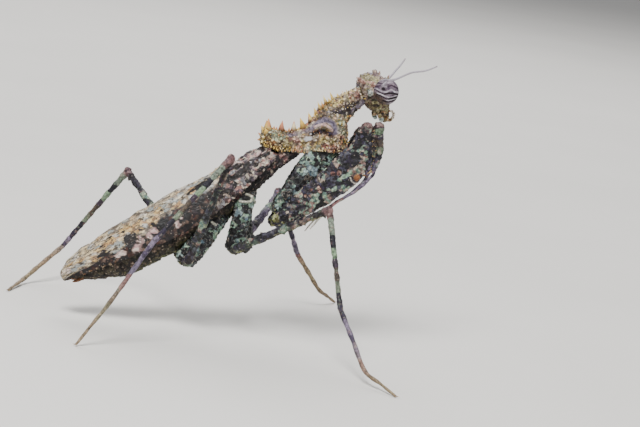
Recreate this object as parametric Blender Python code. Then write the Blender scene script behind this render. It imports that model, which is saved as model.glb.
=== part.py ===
"""Praying mantis of a small, spiny, bark-coloured kind, life size, 40 mm from head to wing tips.

It stands on its four walking legs with the forelegs folded in front of the chest. +X is forward, +Y is
its left side and +Z is up. The four feet stand on z = 0, and the origin is under the middle of the whole
outline. Lengths in this file are in millimetres, and at() turns a place into Blender's metres.
"""

import math

import bmesh
import bpy
from mathutils import Vector

MM = 0.001
CENTRE = (-10.26, 0.12)     # plan place of the middle of the outline, feet and feelers included
GAP = 0.12                  # clearance between neighbouring plates, lobes and joints
PITCH = 38.5                # degrees by which the long axis of the body climbs towards the head
TAIL = (-26.3, 4.2)         # x and z of the start of that axis, under the wing tips
WING_THICKNESS = 0.5
HEAD_CENTRE = (3.88, -0.07, 27.4)
HEAD_TURN = 15.0            # degrees the face is turned to the left
HEAD_LIFT = 20.0            # degrees the face is raised
EYE_OUT = 2.0               # distance of an eye's centre from the middle of the head
EYE_RADII = (1.35, 1.15, 1.35)

SIDES = {"right": -1, "left": 1}

# How the colours of the body read from a distance.
COLOURS = {
    "bark": ((0.16, 0.12, 0.10), 0.75),
    "wing_bark": ((0.46, 0.37, 0.27), 0.7),
    "moss": ((0.42, 0.33, 0.17), 0.75),
    "lichen": ((0.22, 0.26, 0.22), 0.75),
    "mottled_leg": ((0.17, 0.12, 0.13), 0.7),
    "banded_leg": ((0.22, 0.20, 0.16), 0.65),
    "foot_brown": ((0.26, 0.15, 0.10), 0.65),
    "head_plate": ((0.34, 0.28, 0.26), 0.65),
    "eye_striped": ((0.40, 0.36, 0.42), 0.25),
    "feeler": ((0.42, 0.40, 0.40), 0.6),
    "mouth": ((0.36, 0.25, 0.14), 0.65),
}


def at(x, y, z):
    """A place on the animal, in metres from the origin."""
    return Vector((x - CENTRE[0], y - CENTRE[1], z)) * MM


def material(name):
    """The Principled material of that name, made once."""
    if name in bpy.data.materials:
        return bpy.data.materials[name]
    colour, roughness = COLOURS[name]
    made = bpy.data.materials.new(name)
    made.use_nodes = True
    shader = made.node_tree.nodes["Principled BSDF"]
    shader.inputs["Base Color"].default_value = (*colour, 1.0)
    shader.inputs["Roughness"].default_value = roughness
    shader.inputs["Metallic"].default_value = 0.0
    return made


def add_piece(name, bm, origin, colour):
    """Turn a bmesh in world space into an object whose own origin is at its root joint."""
    bm.normal_update()
    bmesh.ops.recalc_face_normals(bm, faces=bm.faces[:])
    bmesh.ops.translate(bm, verts=bm.verts[:], vec=-origin)
    mesh = bpy.data.meshes.new(name)
    bm.to_mesh(mesh)
    bm.free()
    mesh.shade_smooth()
    mesh.set_sharp_from_angle(angle=math.radians(50))
    piece = bpy.data.objects.new(name, mesh)
    piece.location = origin
    piece.parent = mantis
    piece.data.materials.append(material(colour))
    bpy.context.scene.collection.objects.link(piece)
    return piece


def as_cutter(piece):
    """Mark a piece as a guide that only shapes its neighbours."""
    piece.hide_render = True
    piece.display_type = "WIRE"
    return piece


def cut(piece, cutter):
    """Take the cutter's volume out of a piece."""
    trim = piece.modifiers.new("clear_of_" + cutter.name, "BOOLEAN")
    trim.operation = "DIFFERENCE"
    trim.solver = "EXACT"
    trim.object = cutter


def blend(rows, t):
    """A smooth curve through rows of numbers whose first column is the position, read at t."""
    last = len(rows) - 2
    i = max(0, min(last, sum(row[0] <= t for row in rows) - 1))
    span = rows[i + 1][0] - rows[i][0]
    u = (t - rows[i][0]) / span

    def slope(k, column):
        low = rows[max(0, k - 1)]
        high = rows[min(len(rows) - 1, k + 1)]
        return (high[column] - low[column]) / (high[0] - low[0]) * span

    values = []
    for column in range(1, len(rows[0])):
        a = rows[i][column]
        b = rows[i + 1][column]
        bend = (1 - u) * slope(i, column) - u * slope(i + 1, column) + (2 * u - 1) * (b - a)
        values.append(a + u * (b - a) + u * (1 - u) * bend)
    return values


def steps(first, last, count):
    """Evenly spaced positions from first to last."""
    return [first + (last - first) * i / (count - 1) for i in range(count)]


def oval(centre, side, up, count=16, power=2.0, turn=0.5):
    """A ring of points round centre, reaching side and up from it; a higher power is squarer."""
    points = []
    for k in range(count):
        angle = 2 * math.pi * (k + turn) / count
        across = math.copysign(abs(math.cos(angle)) ** (2 / power), math.cos(angle))
        along = math.copysign(abs(math.sin(angle)) ** (2 / power), math.sin(angle))
        points.append(centre + side * across + up * along)
    return points


def loft(rings):
    """Skin a row of rings and cap both ends; also gives the side faces as [station][place]."""
    bm = bmesh.new()
    rows = [[bm.verts.new(point) for point in ring] for ring in rings]
    count = len(rows[0])
    grid = []
    for low, high in zip(rows, rows[1:]):
        places = range(count)
        grid.append([
            bm.faces.new((low[k], low[(k + 1) % count], high[(k + 1) % count], high[k])) for k in places
        ])
    bm.faces.new(rows[0])
    bm.faces.new(rows[-1])
    bm.normal_update()
    bmesh.ops.recalc_face_normals(bm, faces=bm.faces[:])
    return bm, grid


def raise_spine(bm, face, height, lean=(0.0, 0.0, 0.0)):
    """Draw one face out into a pointed spine, height along its normal plus a lean."""
    tip = face.calc_center_median() + (face.normal * height + Vector(lean)) * MM
    poked = bmesh.ops.poke(bm, faces=[face])
    poked["verts"][0].co = tip


def trim_plane(bm, point, normal):
    """Slice off what lies beyond a plane and close the cut."""
    everything = bm.verts[:] + bm.edges[:] + bm.faces[:]
    sliced = bmesh.ops.bisect_plane(bm, geom=everything, plane_co=point, plane_no=normal, clear_outer=True)
    edges = [item for item in sliced["geom_cut"] if isinstance(item, bmesh.types.BMEdge)]
    if edges:
        bmesh.ops.holes_fill(bm, edges=edges)


def tube(path, sizes, side, sides=8, power=2.0):
    """A limb along a path of places: at each one (half size along side, half size across it)."""
    rings = []
    for i, (place, (wide, deep)) in enumerate(zip(path, sizes)):
        before = path[max(0, i - 1)]
        after = path[min(len(path) - 1, i + 1)]
        forward = (after - before).normalized()
        across = (side - forward * side.dot(forward)).normalized()
        up = forward.cross(across)
        rings.append(oval(place, across * wide * MM, up * deep * MM, sides, power))
    return loft(rings)


# ---------------------------------------------------------------------------------------------------
# Start from an empty scene. The empty "mantis" carries every piece.

for old in list(bpy.data.objects):
    bpy.data.objects.remove(old, do_unlink=True)
mantis = bpy.data.objects.new("mantis", None)
bpy.context.scene.collection.objects.link(mantis)

LEFTWARDS = Vector((0.0, 1.0, 0.0))


# ---------------------------------------------------------------------------------------------------
# Trunk: thorax and abdomen are round-backed barrels strung along the climbing axis of the body. Their
# sections are given by the distance s from the tail, and by heights h square to the axis.

def trunk(s, y, h):
    """A place on the trunk."""
    angle = math.radians(PITCH)
    x = TAIL[0] + s * math.cos(angle) - h * math.sin(angle)
    z = TAIL[1] + s * math.sin(angle) + h * math.cos(angle)
    return at(x, y, z)


# s, height of the back, height of the belly, half width
THORAX = [
    (18.0, 0.15, -4.35, 1.90),
    (20.5, 0.00, -3.85, 2.00),
    (23.0, -0.25, -3.05, 1.90),
    (25.5, -0.45, -2.70, 1.65),
    (28.3, -0.90, -2.40, 1.00),
]
ABDOMEN = [
    (0.7, -0.35, -1.05, 0.35),
    (1.7, -0.15, -1.95, 0.80),
    (3.5, 0.05, -2.95, 1.35),
    (6.3, 0.30, -4.10, 1.95),
    (10.0, 0.40, -4.40, 2.25),
    (14.5, 0.35, -4.65, 2.30),
    (17.88, 0.15, -4.35, 2.10),
]


def barrel(rows, stations, grow=0.0):
    """Loft a stretch of the trunk, swollen by grow when it serves as a cutter."""
    rings = []
    for s in steps(rows[0][0], rows[-1][0], stations):
        back, belly, half_width = blend(rows, s)
        centre = trunk(s, 0.0, (back + belly) / 2)
        up = trunk(s, 0.0, back + grow) - centre
        rings.append(oval(centre, LEFTWARDS * (half_width + grow) * MM, up, 16, 2.2))
    return loft(rings)


thorax = add_piece("thorax", barrel(THORAX, 10)[0], trunk(23.0, 0.0, -1.5), "bark")

# The abdomen shows its rings as a low saw edge along the belly.
abdomen_mesh, abdomen_faces = barrel(ABDOMEN, 18)
for station in range(4, 17, 2):
    for place in (11, 13):
        raise_spine(abdomen_mesh, abdomen_faces[station][place - 1], 0.12)
abdomen = add_piece("abdomen", abdomen_mesh, trunk(17.9, 0.0, -2.0), "bark")

trunk_cutters = [
    as_cutter(add_piece("thorax_cutter", barrel(THORAX, 10, GAP)[0], trunk(23.0, 0.0, -1.5), "bark")),
    as_cutter(add_piece("abdomen_cutter", barrel(ABDOMEN, 18, GAP)[0], trunk(17.9, 0.0, -2.0), "bark")),
]

# Two short cerci, the tail feelers, come out below the wing tips.
for side, sign in SIDES.items():
    root = trunk(1.9, 0.55 * sign, -1.75)
    path = [root, trunk(1.2, 0.6 * sign, -1.75), trunk(0.5, 0.65 * sign, -1.6)]
    cercus_mesh = tube(path, [(0.27, 0.27), (0.27, 0.27), (0.25, 0.25)], LEFTWARDS, 6)[0]
    cut(add_piece("cercus_" + side, cercus_mesh, root, "foot_brown"), trunk_cutters[1])


# ---------------------------------------------------------------------------------------------------
# Wings: folded over the abdomen like a roof, one to each side of the ridge, reaching to its tip.

# s, height of the ridge, height of the outer margin, half width
WINGS = [
    (0.35, 0.30, -0.85, 0.80),
    (1.4, 0.65, -0.60, 1.45),
    (4.0, 0.95, -0.80, 2.15),
    (7.5, 1.12, -1.35, 2.70),
    (12.0, 1.10, -1.95, 2.95),
    (16.0, 0.95, -2.15, 2.90),
    (20.0, 0.70, -1.85, 2.65),
    (23.0, 0.45, -1.40, 2.50),
    (25.3, 0.25, -1.00, 2.25),
]
RIDGE_GAP = 0.07            # half the gap between the two wings along the ridge


def wing(sign):
    """One wing: an arched shell whose section runs from the ridge down to the margin and back inside."""
    rings = []
    for s in steps(WINGS[0][0], WINGS[-1][0], 16):
        ridge, margin, half_width = blend(WINGS, s)
        outside = []
        inside = []
        for angle in steps(math.pi / 2, 0.0, 7):
            out = math.cos(angle) ** 0.9
            rise = math.sin(angle) ** 0.9
            inner = half_width - WING_THICKNESS
            y = max(RIDGE_GAP, half_width * out)
            outside.append(trunk(s, sign * y, margin + (ridge - margin) * rise))
            y = max(RIDGE_GAP, inner * out)
            inside.append(trunk(s, sign * y, margin + (ridge - WING_THICKNESS - margin) * rise))
        rings.append(outside + inside[::-1])
    return loft(rings)[0]


wings = [
    add_piece("wing_" + side, wing(sign), trunk(25.3, sign * 1.2, 0.0), "wing_bark")
    for side, sign in SIDES.items()
]


# ---------------------------------------------------------------------------------------------------
# Pronotum: the long plate behind the head. It starts as a low spiny block over the thorax, swells where
# the forelegs hang from it, and rises steeply as a neck. Sections fan round that bend.

# position, x and z of the lower edge, x and z of the upper edge, half width
PRONOTUM = [
    (0.0, -7.40, 20.35, -7.45, 21.00, 0.60),
    (1.0, -6.85, 19.80, -6.95, 21.80, 1.30),
    (2.0, -5.50, 19.65, -5.60, 21.85, 1.50),
    (3.0, -4.10, 19.65, -4.35, 21.90, 1.50),
    (4.0, -2.50, 19.80, -3.10, 22.50, 1.65),
    (5.0, -0.90, 19.85, -2.15, 23.85, 1.95),
    (6.0, 0.75, 20.15, -1.40, 25.05, 2.00),
    (7.0, 1.60, 21.40, -0.45, 25.80, 1.65),
    (8.0, 1.30, 23.20, 0.40, 26.30, 1.35),
    (9.0, 1.65, 24.40, 1.10, 26.70, 1.20),
    (10.0, 2.40, 25.10, 1.75, 27.10, 1.10),
    (11.0, 2.90, 25.60, 2.10, 27.20, 0.85),
]
# Spines of the pronotum: station, place round the ring (3 is the ridge, 11 the keel), height.
BIG_CONES = [(station, place, 0.95) for station in (2, 5) for place in (2, 4)] + [(7, 3, 0.85), (9, 3, 0.75)]
CREST_SPINES = [(station, 3, 0.45) for station in (11, 13, 15, 17, 19, 21, 24)]
SHOULDER_SPINES = [(station, place, 0.4) for station in (13, 15, 17) for place in (1, 5)]
FLANK_SPINES = [(station, place, 0.3) for station in range(2, 11, 2) for place in (8, 14)]
FRONT_SPINES = [(station, place, 0.3) for station in (18, 20, 22) for place in (10, 12)]


def pronotum_sections(grow=0.0):
    """Loft the pronotum, swollen by grow when it serves as a cutter."""
    rings = []
    for t in steps(0.0, 11.0, 28):
        low_x, low_z, high_x, high_z, half_width = blend(PRONOTUM, t)
        low = at(low_x, 0.0, low_z)
        high = at(high_x, 0.0, high_z)
        up = (high - low) / 2
        up += up.normalized() * grow * MM
        rings.append(oval((low + high) / 2, LEFTWARDS * (half_width + grow) * MM, up, 16, 2.4))
    return loft(rings)


pronotum_mesh, pronotum_faces = pronotum_sections()
for station, place, height in BIG_CONES + CREST_SPINES + SHOULDER_SPINES + FLANK_SPINES + FRONT_SPINES:
    raise_spine(pronotum_mesh, pronotum_faces[station][place], height)
add_piece("pronotum", pronotum_mesh, at(-1.0, 0.0, 22.0), "moss")
pronotum_cutter = as_cutter(
    add_piece("pronotum_cutter", pronotum_sections(GAP)[0], at(-1.0, 0.0, 22.0), "moss")
)
for piece in (thorax, *wings):
    cut(piece, pronotum_cutter)


# ---------------------------------------------------------------------------------------------------
# Head: a wedge hung from the neck, broad at the crown between the eyes and narrow at the mouth. Its
# places are given along the face, to its left and towards the crown.

TURN = math.radians(HEAD_TURN)
LIFT = math.radians(HEAD_LIFT)
FACE = Vector((math.cos(LIFT) * math.cos(TURN), math.cos(LIFT) * math.sin(TURN), math.sin(LIFT)))
CHEEK = Vector((-math.sin(TURN), math.cos(TURN), 0.0))
CROWN = FACE.cross(CHEEK)


def head_at(forward, left, up):
    """A place on the head."""
    return at(*HEAD_CENTRE) + (FACE * forward + CHEEK * left + CROWN * up) * MM


# height towards the crown, half width, front, back
HEAD = [
    (-2.50, 0.80, 0.85, -0.30),
    (-1.90, 1.05, 1.00, -0.40),
    (-1.20, 1.35, 1.12, -0.50),
    (-0.60, 1.65, 1.18, -0.80),
    (0.00, 1.80, 1.18, -1.25),
    (0.60, 1.75, 1.08, -1.60),
    (1.05, 1.40, 0.80, -1.45),
    (1.35, 0.75, 0.30, -0.95),
]
MOUTH = [
    (-3.70, 0.27, 0.62, 0.05),
    (-3.30, 0.55, 0.78, -0.15),
    (-2.62, 0.78, 0.86, -0.28),
]


def head_stack(rows, stations, sides):
    """Loft sections of the head from the lowest to the highest."""
    rings = []
    for up in steps(rows[0][0], rows[-1][0], stations):
        half_width, front, back = blend(rows, up)
        centre = head_at((front + back) / 2, 0.0, up)
        rings.append(oval(centre, CHEEK * half_width * MM, FACE * (front - back) / 2 * MM, sides, 2.3))
    return loft(rings)


head_mesh, head_faces = head_stack(HEAD, 13, 16)
for place, height in ((3, 0.45), (1, 0.35), (5, 0.35), (9, 0.35), (13, 0.35)):
    raise_spine(head_mesh, head_faces[11][place], height)
for station, place in ((9, 9), (9, 13), (7, 10), (7, 12)):
    raise_spine(head_mesh, head_faces[station][place], 0.3)
head = add_piece("head", head_mesh, head_at(-1.0, 0.0, 0.0), "head_plate")
horn_path = [head_at(-0.1, 0.0, 1.0), head_at(-0.15, 0.0, 1.6), head_at(-0.25, 0.0, 2.05)]
horn = as_cutter(
    add_piece("horn", tube(horn_path, [(0.42, 0.42), (0.32, 0.32), (0.2, 0.2)], CHEEK, 8)[0],
              head_at(0.0, 0.0, 1.0), "head_plate")
)
crown_join = head.modifiers.new("horn_join", "BOOLEAN")
crown_join.operation = "UNION"
crown_join.solver = "EXACT"
crown_join.object = horn


def eye_ball(name, sign, grow):
    """The bulging compound eye, or the socket cut for it."""
    bm = bmesh.new()
    bmesh.ops.create_uvsphere(bm, u_segments=16, v_segments=10, radius=1.0)
    along, out, up = (radius + grow for radius in EYE_RADII)
    for vert in bm.verts:
        x, y, z = vert.co
        vert.co = head_at(0.05 + along * x, sign * (EYE_OUT + out * z), up * y)
    return add_piece(name, bm, head_at(0.05, sign * EYE_OUT, 0.0), "eye_striped")


for side, sign in SIDES.items():
    eye_ball("eye_" + side, sign, 0.0)
    cut(head, as_cutter(eye_ball("socket_" + side, sign, GAP)))

# Mouthparts: upper lip and jaws in one wedge, with a pair of curved palps joined to it.
mouthparts = add_piece("mouthparts", head_stack(MOUTH, 6, 12)[0], head_at(0.3, 0.0, -2.6), "mouth")
for side, sign in SIDES.items():
    palp_path = [
        head_at(0.3, 0.45 * sign, -2.85),
        head_at(0.75, 0.75 * sign, -3.15),
        head_at(1.05, 0.7 * sign, -2.85),
        head_at(1.35, 0.6 * sign, -2.6),
    ]
    palp_mesh = tube(palp_path, [(0.26, 0.26), (0.26, 0.26), (0.25, 0.25), (0.2, 0.2)], CHEEK, 6)[0]
    palp = as_cutter(add_piece("palp_" + side, palp_mesh, palp_path[0], "mouth"))
    join = mouthparts.modifiers.new("palp_join_" + side, "BOOLEAN")
    join.operation = "UNION"
    join.solver = "EXACT"
    join.object = palp

# Feelers rise from the face between the eyes and curve forward.
ANTENNAE = {
    "right": [(5.15, -0.20, 28.40), (5.75, -0.50, 28.75), (7.10, -0.80, 29.60), (8.50, -0.9, 30.00),
              (9.70, -0.80, 30.60)],
    "left": [(5.00, 0.62, 28.45), (5.60, 1.60, 28.75), (6.30, 2.90, 29.20), (7.00, 4.0, 29.70),
             (7.55, 4.60, 30.40)],
}
for side, places in ANTENNAE.items():
    path = [at(*place) for place in places]
    feeler_mesh = tube(path, [(0.27, 0.27)] * 4 + [(0.25, 0.25)], LEFTWARDS, 6)[0]
    trim_plane(feeler_mesh, head_at(1.2, 0.0, 0.0), -FACE)
    add_piece("antenna_" + side, feeler_mesh, path[0], "feeler")


# ---------------------------------------------------------------------------------------------------
# Forelegs: a broad hanging coxa, a deep femur folded up along its outer side, a short tibia closed on
# the front of the femur and a thin tarsus laid back below it. Places are x and z; y is one plane each.

FORE_COXA_Y = 1.6
FORE_FEMUR_Y = 3.0
# x, z, half thickness, half depth
FORE_COXA = [(-0.3, 20.9, 0.65, 1.75), (-1.2, 19.5, 0.65, 1.7), (-2.3, 18.0, 0.65, 1.4),
             (-3.5, 16.0, 0.65, 1.1), (-4.45, 14.1, 0.62, 0.95), (-4.9, 13.2, 0.45, 0.75)]
FORE_FEMUR = [(-5.0, 12.7, 0.35, 0.5), (-4.2, 13.55, 0.5, 0.9), (-2.5, 15.1, 0.6, 1.35),
              (-0.5, 16.9, 0.6, 1.6), (1.3, 18.9, 0.6, 1.75), (2.4, 20.8, 0.6, 1.5),
              (2.6, 22.4, 0.58, 0.93), (2.75, 23.6, 0.52, 0.6), (2.85, 24.1, 0.35, 0.35)]
FORE_TIBIA = [(3.85, 24.3, 0.35, 0.3), (4.05, 23.8, 0.5, 0.52), (4.35, 22.4, 0.5, 0.47),
              (4.48, 21.0, 0.45, 0.33), (4.3, 19.9, 0.4, 0.31), (4.1, 19.0, 0.3, 0.28)]
FORE_TARSUS = [(4.35, 19.3, 0.27, 0.27), (4.1, 18.7, 0.27, 0.27), (2.75, 17.0, 0.27, 0.27),
               (1.3, 15.85, 0.27, 0.27), (0.1, 14.75, 0.27, 0.27), (-0.75, 13.6, 0.27, 0.27),
               (-1.6, 12.25, 0.25, 0.25)]
# Spines along the lower edge of the femur: station, place round it, height.
FEMUR_SPINES = [(station, 2, 0.28) for station in (2, 3, 4, 5)]
LEFT_SHIFT = (0.9, -1.3)    # x and z by which the left foreleg is held differently from the right


def fore_limb(rows, y, shift, sides, spines=()):
    """A foreleg piece that lies in one plane beside the body."""
    path = [at(x + shift[0], y, z + shift[1]) for x, z, thick, deep in rows]
    bm, grid = tube(path, [(thick, deep) for x, z, thick, deep in rows], LEFTWARDS, sides, 2.3)
    for station, place, height in spines:
        raise_spine(bm, grid[station][place], height)
    return bm, path


for side, sign in SIDES.items():
    shift = LEFT_SHIFT if side == "left" else (0.0, 0.0)
    coxa_shift = (shift[0] * 0.6, shift[1] * 0.3)
    bm, path = fore_limb(FORE_COXA, sign * FORE_COXA_Y, coxa_shift, 12)
    cut(add_piece("fore_coxa_" + side, bm, path[0], "lichen"), pronotum_cutter)

    bm, path = fore_limb(FORE_FEMUR, sign * FORE_FEMUR_Y, shift, 12, FEMUR_SPINES)
    add_piece("fore_femur_" + side, bm, path[0], "mottled_leg")

    ankle = at(4.22 + shift[0], sign * FORE_FEMUR_Y, 19.15 + shift[1])
    fold = Vector((-0.75, 0.0, -1.0)).normalized()
    bm, path = fore_limb(FORE_TIBIA, sign * FORE_FEMUR_Y, shift, 8)
    trim_plane(bm, ankle - fold * GAP / 2 * MM, fold)
    add_piece("fore_tibia_" + side, bm, path[0], "banded_leg")

    bm, path = fore_limb(FORE_TARSUS, sign * (FORE_FEMUR_Y + 0.1), shift, 6)
    trim_plane(bm, ankle + fold * GAP / 2 * MM, -fold)
    add_piece("fore_tarsus_" + side, bm, path[0], "foot_brown")


# ---------------------------------------------------------------------------------------------------
# Walking legs: a thick coxa hangs from the thorax; a long femur rises from its outer side to the knee,
# the tibia comes down and out, and the tarsus runs on to the floor. Directions are yaw, from straight
# ahead towards the leg's own side, and pitch above the level, in degrees.

COXA_Y = 1.7
FEMUR_Y = 3.1
WALKING = {
    "mid": {
        "hip": (-8.25, 14.9), "trochanter": (-8.8, 9.5), "coxa": ((0.85, 1.05), (0.85, 0.98), (0.8, 1.05)),
        "femur": 10.6, "tibia": 10.4, "femur_radii": (0.5, 0.48, 0.46, 0.43, 0.4, 0.44),
        "right": {"femur": (24, 32.5), "tibia": (71, -61.5), "toe": (3.0, -17.6, 1.3), "foot": (5.3, -22.0)},
        "left": {"trochanter": (-7.25, 9.05), "femur": (58.5, 24), "tibia": (52.8, -45.6),
                 "toe": (5.6, 19.0, 2.0), "foot": (8.4, 22.2)},
    },
    "hind": {
        "hip": (-10.75, 12.2), "trochanter": (-13.6, 7.6), "coxa": ((0.85, 1.0), (0.85, 1.15), (0.8, 1.15)),
        "femur": 12.2, "tibia": 12.2, "femur_radii": (0.5, 0.46, 0.42, 0.38, 0.34, 0.4),
        "right": {"femur": (56, 71.5), "tibia": (147.5, -44.5), "toe": (-22.6, -12.9, 4.3),
                  "foot": (-25.5, -14.4)},
        "left": {"femur": (119, 30), "tibia": (135, -54), "toe": (-28.1, 12.9, 0.6), "foot": (-30.1, 8.4)},
    },
}
TARSUS_RADIUS = 0.26


def heading(yaw, pitch, sign):
    """The unit direction of a leg piece on one side."""
    yaw = math.radians(yaw)
    pitch = math.radians(pitch)
    return Vector((math.cos(pitch) * math.cos(yaw), sign * math.cos(pitch) * math.sin(yaw), math.sin(pitch)))


def limb_between(start, end, radii, side, past=0.3, deeper=1.0, sides=8):
    """A straight limb from joint to joint, running on a little past both for the mitre cuts."""
    along = end - start
    overrun = along.normalized() * past * MM
    fractions = steps(0.0, 1.0, len(radii))
    path = [start - overrun * 0.9] + [start + along * f for f in fractions] + [end + overrun * 0.9]
    full = (radii[0] * 0.7, *radii, radii[-1] * 0.7)
    return tube(path, [(radius, radius * deeper) for radius in full], side, sides)[0]


def mitre(bm, joint, arriving, leaving, ends_here):
    """Slice a limb at a joint so that it faces its neighbour across the gap."""
    normal = (arriving + leaving).normalized()
    if ends_here:
        trim_plane(bm, joint - normal * GAP / 2 * MM, normal)
    else:
        trim_plane(bm, joint + normal * GAP / 2 * MM, -normal)


for pair, plan in WALKING.items():
    for side, sign in SIDES.items():
        pose = plan[side]
        hip = at(plan["hip"][0], sign * COXA_Y, plan["hip"][1])
        low_x, low_z = pose.get("trochanter", plan["trochanter"])
        knob = at(low_x, sign * COXA_Y, low_z)
        down = (knob - hip).normalized()
        path = [hip - down * 0.4 * MM, hip, hip.lerp(knob, 0.55), knob, knob + down * 0.5 * MM,
                knob + down * 0.85 * MM]
        top, middle, low = plan["coxa"]
        bm = tube(path, [top, top, middle, low, (0.6, 0.8), (0.3, 0.4)], LEFTWARDS, 12, 2.3)[0]
        coxa = add_piece(pair + "_coxa_" + side, bm, hip, "lichen")
        for cutter in trunk_cutters:
            cut(coxa, cutter)

        root = at(low_x, sign * FEMUR_Y, low_z)
        femur_way = heading(*pose["femur"], sign)
        tibia_way = heading(*pose["tibia"], sign)
        knee = root + femur_way * plan["femur"] * MM
        ankle = knee + tibia_way * plan["tibia"] * MM
        toe = at(*pose["toe"])
        foot = at(*pose["foot"], TARSUS_RADIUS * 0.55)
        tarsus_way = (toe - ankle).normalized()

        bm = limb_between(root, knee, plan["femur_radii"], LEFTWARDS)
        mitre(bm, knee, femur_way, tibia_way, True)
        add_piece(pair + "_femur_" + side, bm, root, "mottled_leg")

        bm = limb_between(knee, ankle, (0.38, 0.31, 0.29, 0.27, 0.28), LEFTWARDS)
        mitre(bm, knee, femur_way, tibia_way, False)
        mitre(bm, ankle, tibia_way, tarsus_way, True)
        add_piece(pair + "_tibia_" + side, bm, knee, "banded_leg")

        path = [ankle - tarsus_way * 0.25 * MM, ankle.lerp(toe, 0.5), toe, toe.lerp(foot, 0.5), foot]
        bm = tube(path, [(TARSUS_RADIUS, TARSUS_RADIUS)] * 5, LEFTWARDS, 8)[0]
        mitre(bm, ankle, tibia_way, tarsus_way, False)
        trim_plane(bm, Vector((0.0, 0.0, 0.0)), Vector((0.0, 0.0, -1.0)))
        add_piece(pair + "_tarsus_" + side, bm, ankle, "foot_brown")
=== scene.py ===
"""A praying mantis of a small, spiny, lichen-coloured kind, life size, finished for a museum case.

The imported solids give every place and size. Shapes are worked out in millimetres on the maker's own
drawing, where +X is forward, +Y the animal's left and +Z up, and are put into metres as they are shown.
"""

import itertools
import math

import bpy
import numpy as np
from mathutils import Matrix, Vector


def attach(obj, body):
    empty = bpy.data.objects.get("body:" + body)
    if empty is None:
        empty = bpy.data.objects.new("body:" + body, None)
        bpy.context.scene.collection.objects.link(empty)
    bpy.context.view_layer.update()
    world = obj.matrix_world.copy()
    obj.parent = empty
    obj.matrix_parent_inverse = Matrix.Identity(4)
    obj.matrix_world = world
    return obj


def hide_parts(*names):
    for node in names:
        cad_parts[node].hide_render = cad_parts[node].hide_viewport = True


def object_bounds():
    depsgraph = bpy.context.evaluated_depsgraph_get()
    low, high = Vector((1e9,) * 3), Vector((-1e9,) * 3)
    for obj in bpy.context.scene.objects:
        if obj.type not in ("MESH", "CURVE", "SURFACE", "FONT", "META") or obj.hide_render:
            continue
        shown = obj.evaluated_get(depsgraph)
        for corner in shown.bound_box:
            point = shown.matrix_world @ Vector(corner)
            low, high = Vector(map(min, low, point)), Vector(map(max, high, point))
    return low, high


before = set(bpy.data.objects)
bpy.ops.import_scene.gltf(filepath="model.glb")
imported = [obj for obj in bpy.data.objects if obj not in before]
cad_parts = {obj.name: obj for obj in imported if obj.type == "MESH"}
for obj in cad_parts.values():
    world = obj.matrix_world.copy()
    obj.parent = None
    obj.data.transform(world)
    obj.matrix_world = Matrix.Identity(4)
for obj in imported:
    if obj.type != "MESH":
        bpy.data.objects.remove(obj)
cad_box = [list(corner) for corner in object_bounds()]


# ----------------------------------------------------------------------
# Thorax and abdomen. The real trunk is a row of hard rings, each lapping over the next, with soft hide
# between them. Here it is one hide over both barrels, stepped at every ring and pebbled all over.

HOME = np.array((10.26, -0.12, 0.0))    # from the drawing's origin to the middle of the footprint
PITCH = math.radians(38.5)              # climb of the trunk's axis towards the head
TAIL = (-26.3, 4.2)                     # x and z where that axis starts, under the wing tips
LEFTWARDS = np.array((0.0, 1.0, 0.0))
SIDES = {"right": -1, "left": 1}
# distance s from the tail, height of the back, height of the belly, half width
THORAX = [(16.0, 0.10, -4.40, 1.95), (18.0, 0.15, -4.35, 1.90), (20.5, 0.00, -3.85, 2.00),
    (23.0, -0.25, -3.05, 1.90), (25.5, -0.45, -2.70, 1.65), (28.3, -0.90, -2.40, 1.00)]
ABDOMEN = [(0.7, -0.35, -1.05, 0.35), (1.7, -0.15, -1.95, 0.80), (3.5, 0.05, -2.95, 1.35),
    (6.3, 0.30, -4.10, 1.95), (10.0, 0.40, -4.40, 2.25), (14.5, 0.35, -4.65, 2.30),
    (17.88, 0.15, -4.35, 2.10)]
TRUNK_POWER = 2.2                       # how square its ovals are
RING_LENGTH = 1.95                      # one ring of the abdomen
FAR_CELL = 500                          # noise is read this many cells off, where they all count up from 0
# Rosy patches beside the thorax and abdomen: x, z and size
ROSY = [(-5.1, 19.2, 0.5), (-9.4, 14.8, 0.5), (-7.4, 18.6, 0.4), (-14.6, 10.6, 0.6), (-16.6, 9.6, 0.5),
    (-12.9, 11.6, 0.5)]


def curve(rows, places):
    """Rows of numbers, the first one their place along the piece, read off at other places by cubic
    pieces whose slope at each row is the chord between its two neighbours."""
    rows = np.array(rows, float)
    key = rows[:, 0]
    number = np.arange(len(rows))
    before = np.maximum(number - 1, 0)
    after = np.minimum(number + 1, len(rows) - 1)
    slope = (rows[after] - rows[before]) / (key[after] - key[before])[:, None]
    i = np.clip(np.searchsorted(key, places, side="right") - 1, 0, len(rows) - 2)
    span = (key[i + 1] - key[i])[:, None]
    u = (places - key[i])[:, None] / span
    rise = rows[i + 1] - rows[i]
    bend = (1 - u) * slope[i] * span - u * slope[i + 1] * span + (2 * u - 1) * rise
    return (rows[i] + u * rise + u * (1 - u) * bend)[:, 1:]


def trunk(s, y, h):
    """Places s along the climbing axis of the trunk, y to its left and h square to both."""
    s, y, h = np.broadcast_arrays(s, y, h)
    x = TAIL[0] + s * math.cos(PITCH) - h * math.sin(PITCH)
    return np.stack((x, y, TAIL[1] + s * math.sin(PITCH) + h * math.cos(PITCH)), axis=-1)


def oval(turn, power):
    """Cosine and sine of each angle with their sizes raised to 2/power: round at 2, squarer above."""
    return [np.sign(part) * np.abs(part) ** (2 / power) for part in (np.cos(turn), np.sin(turn))]


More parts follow.
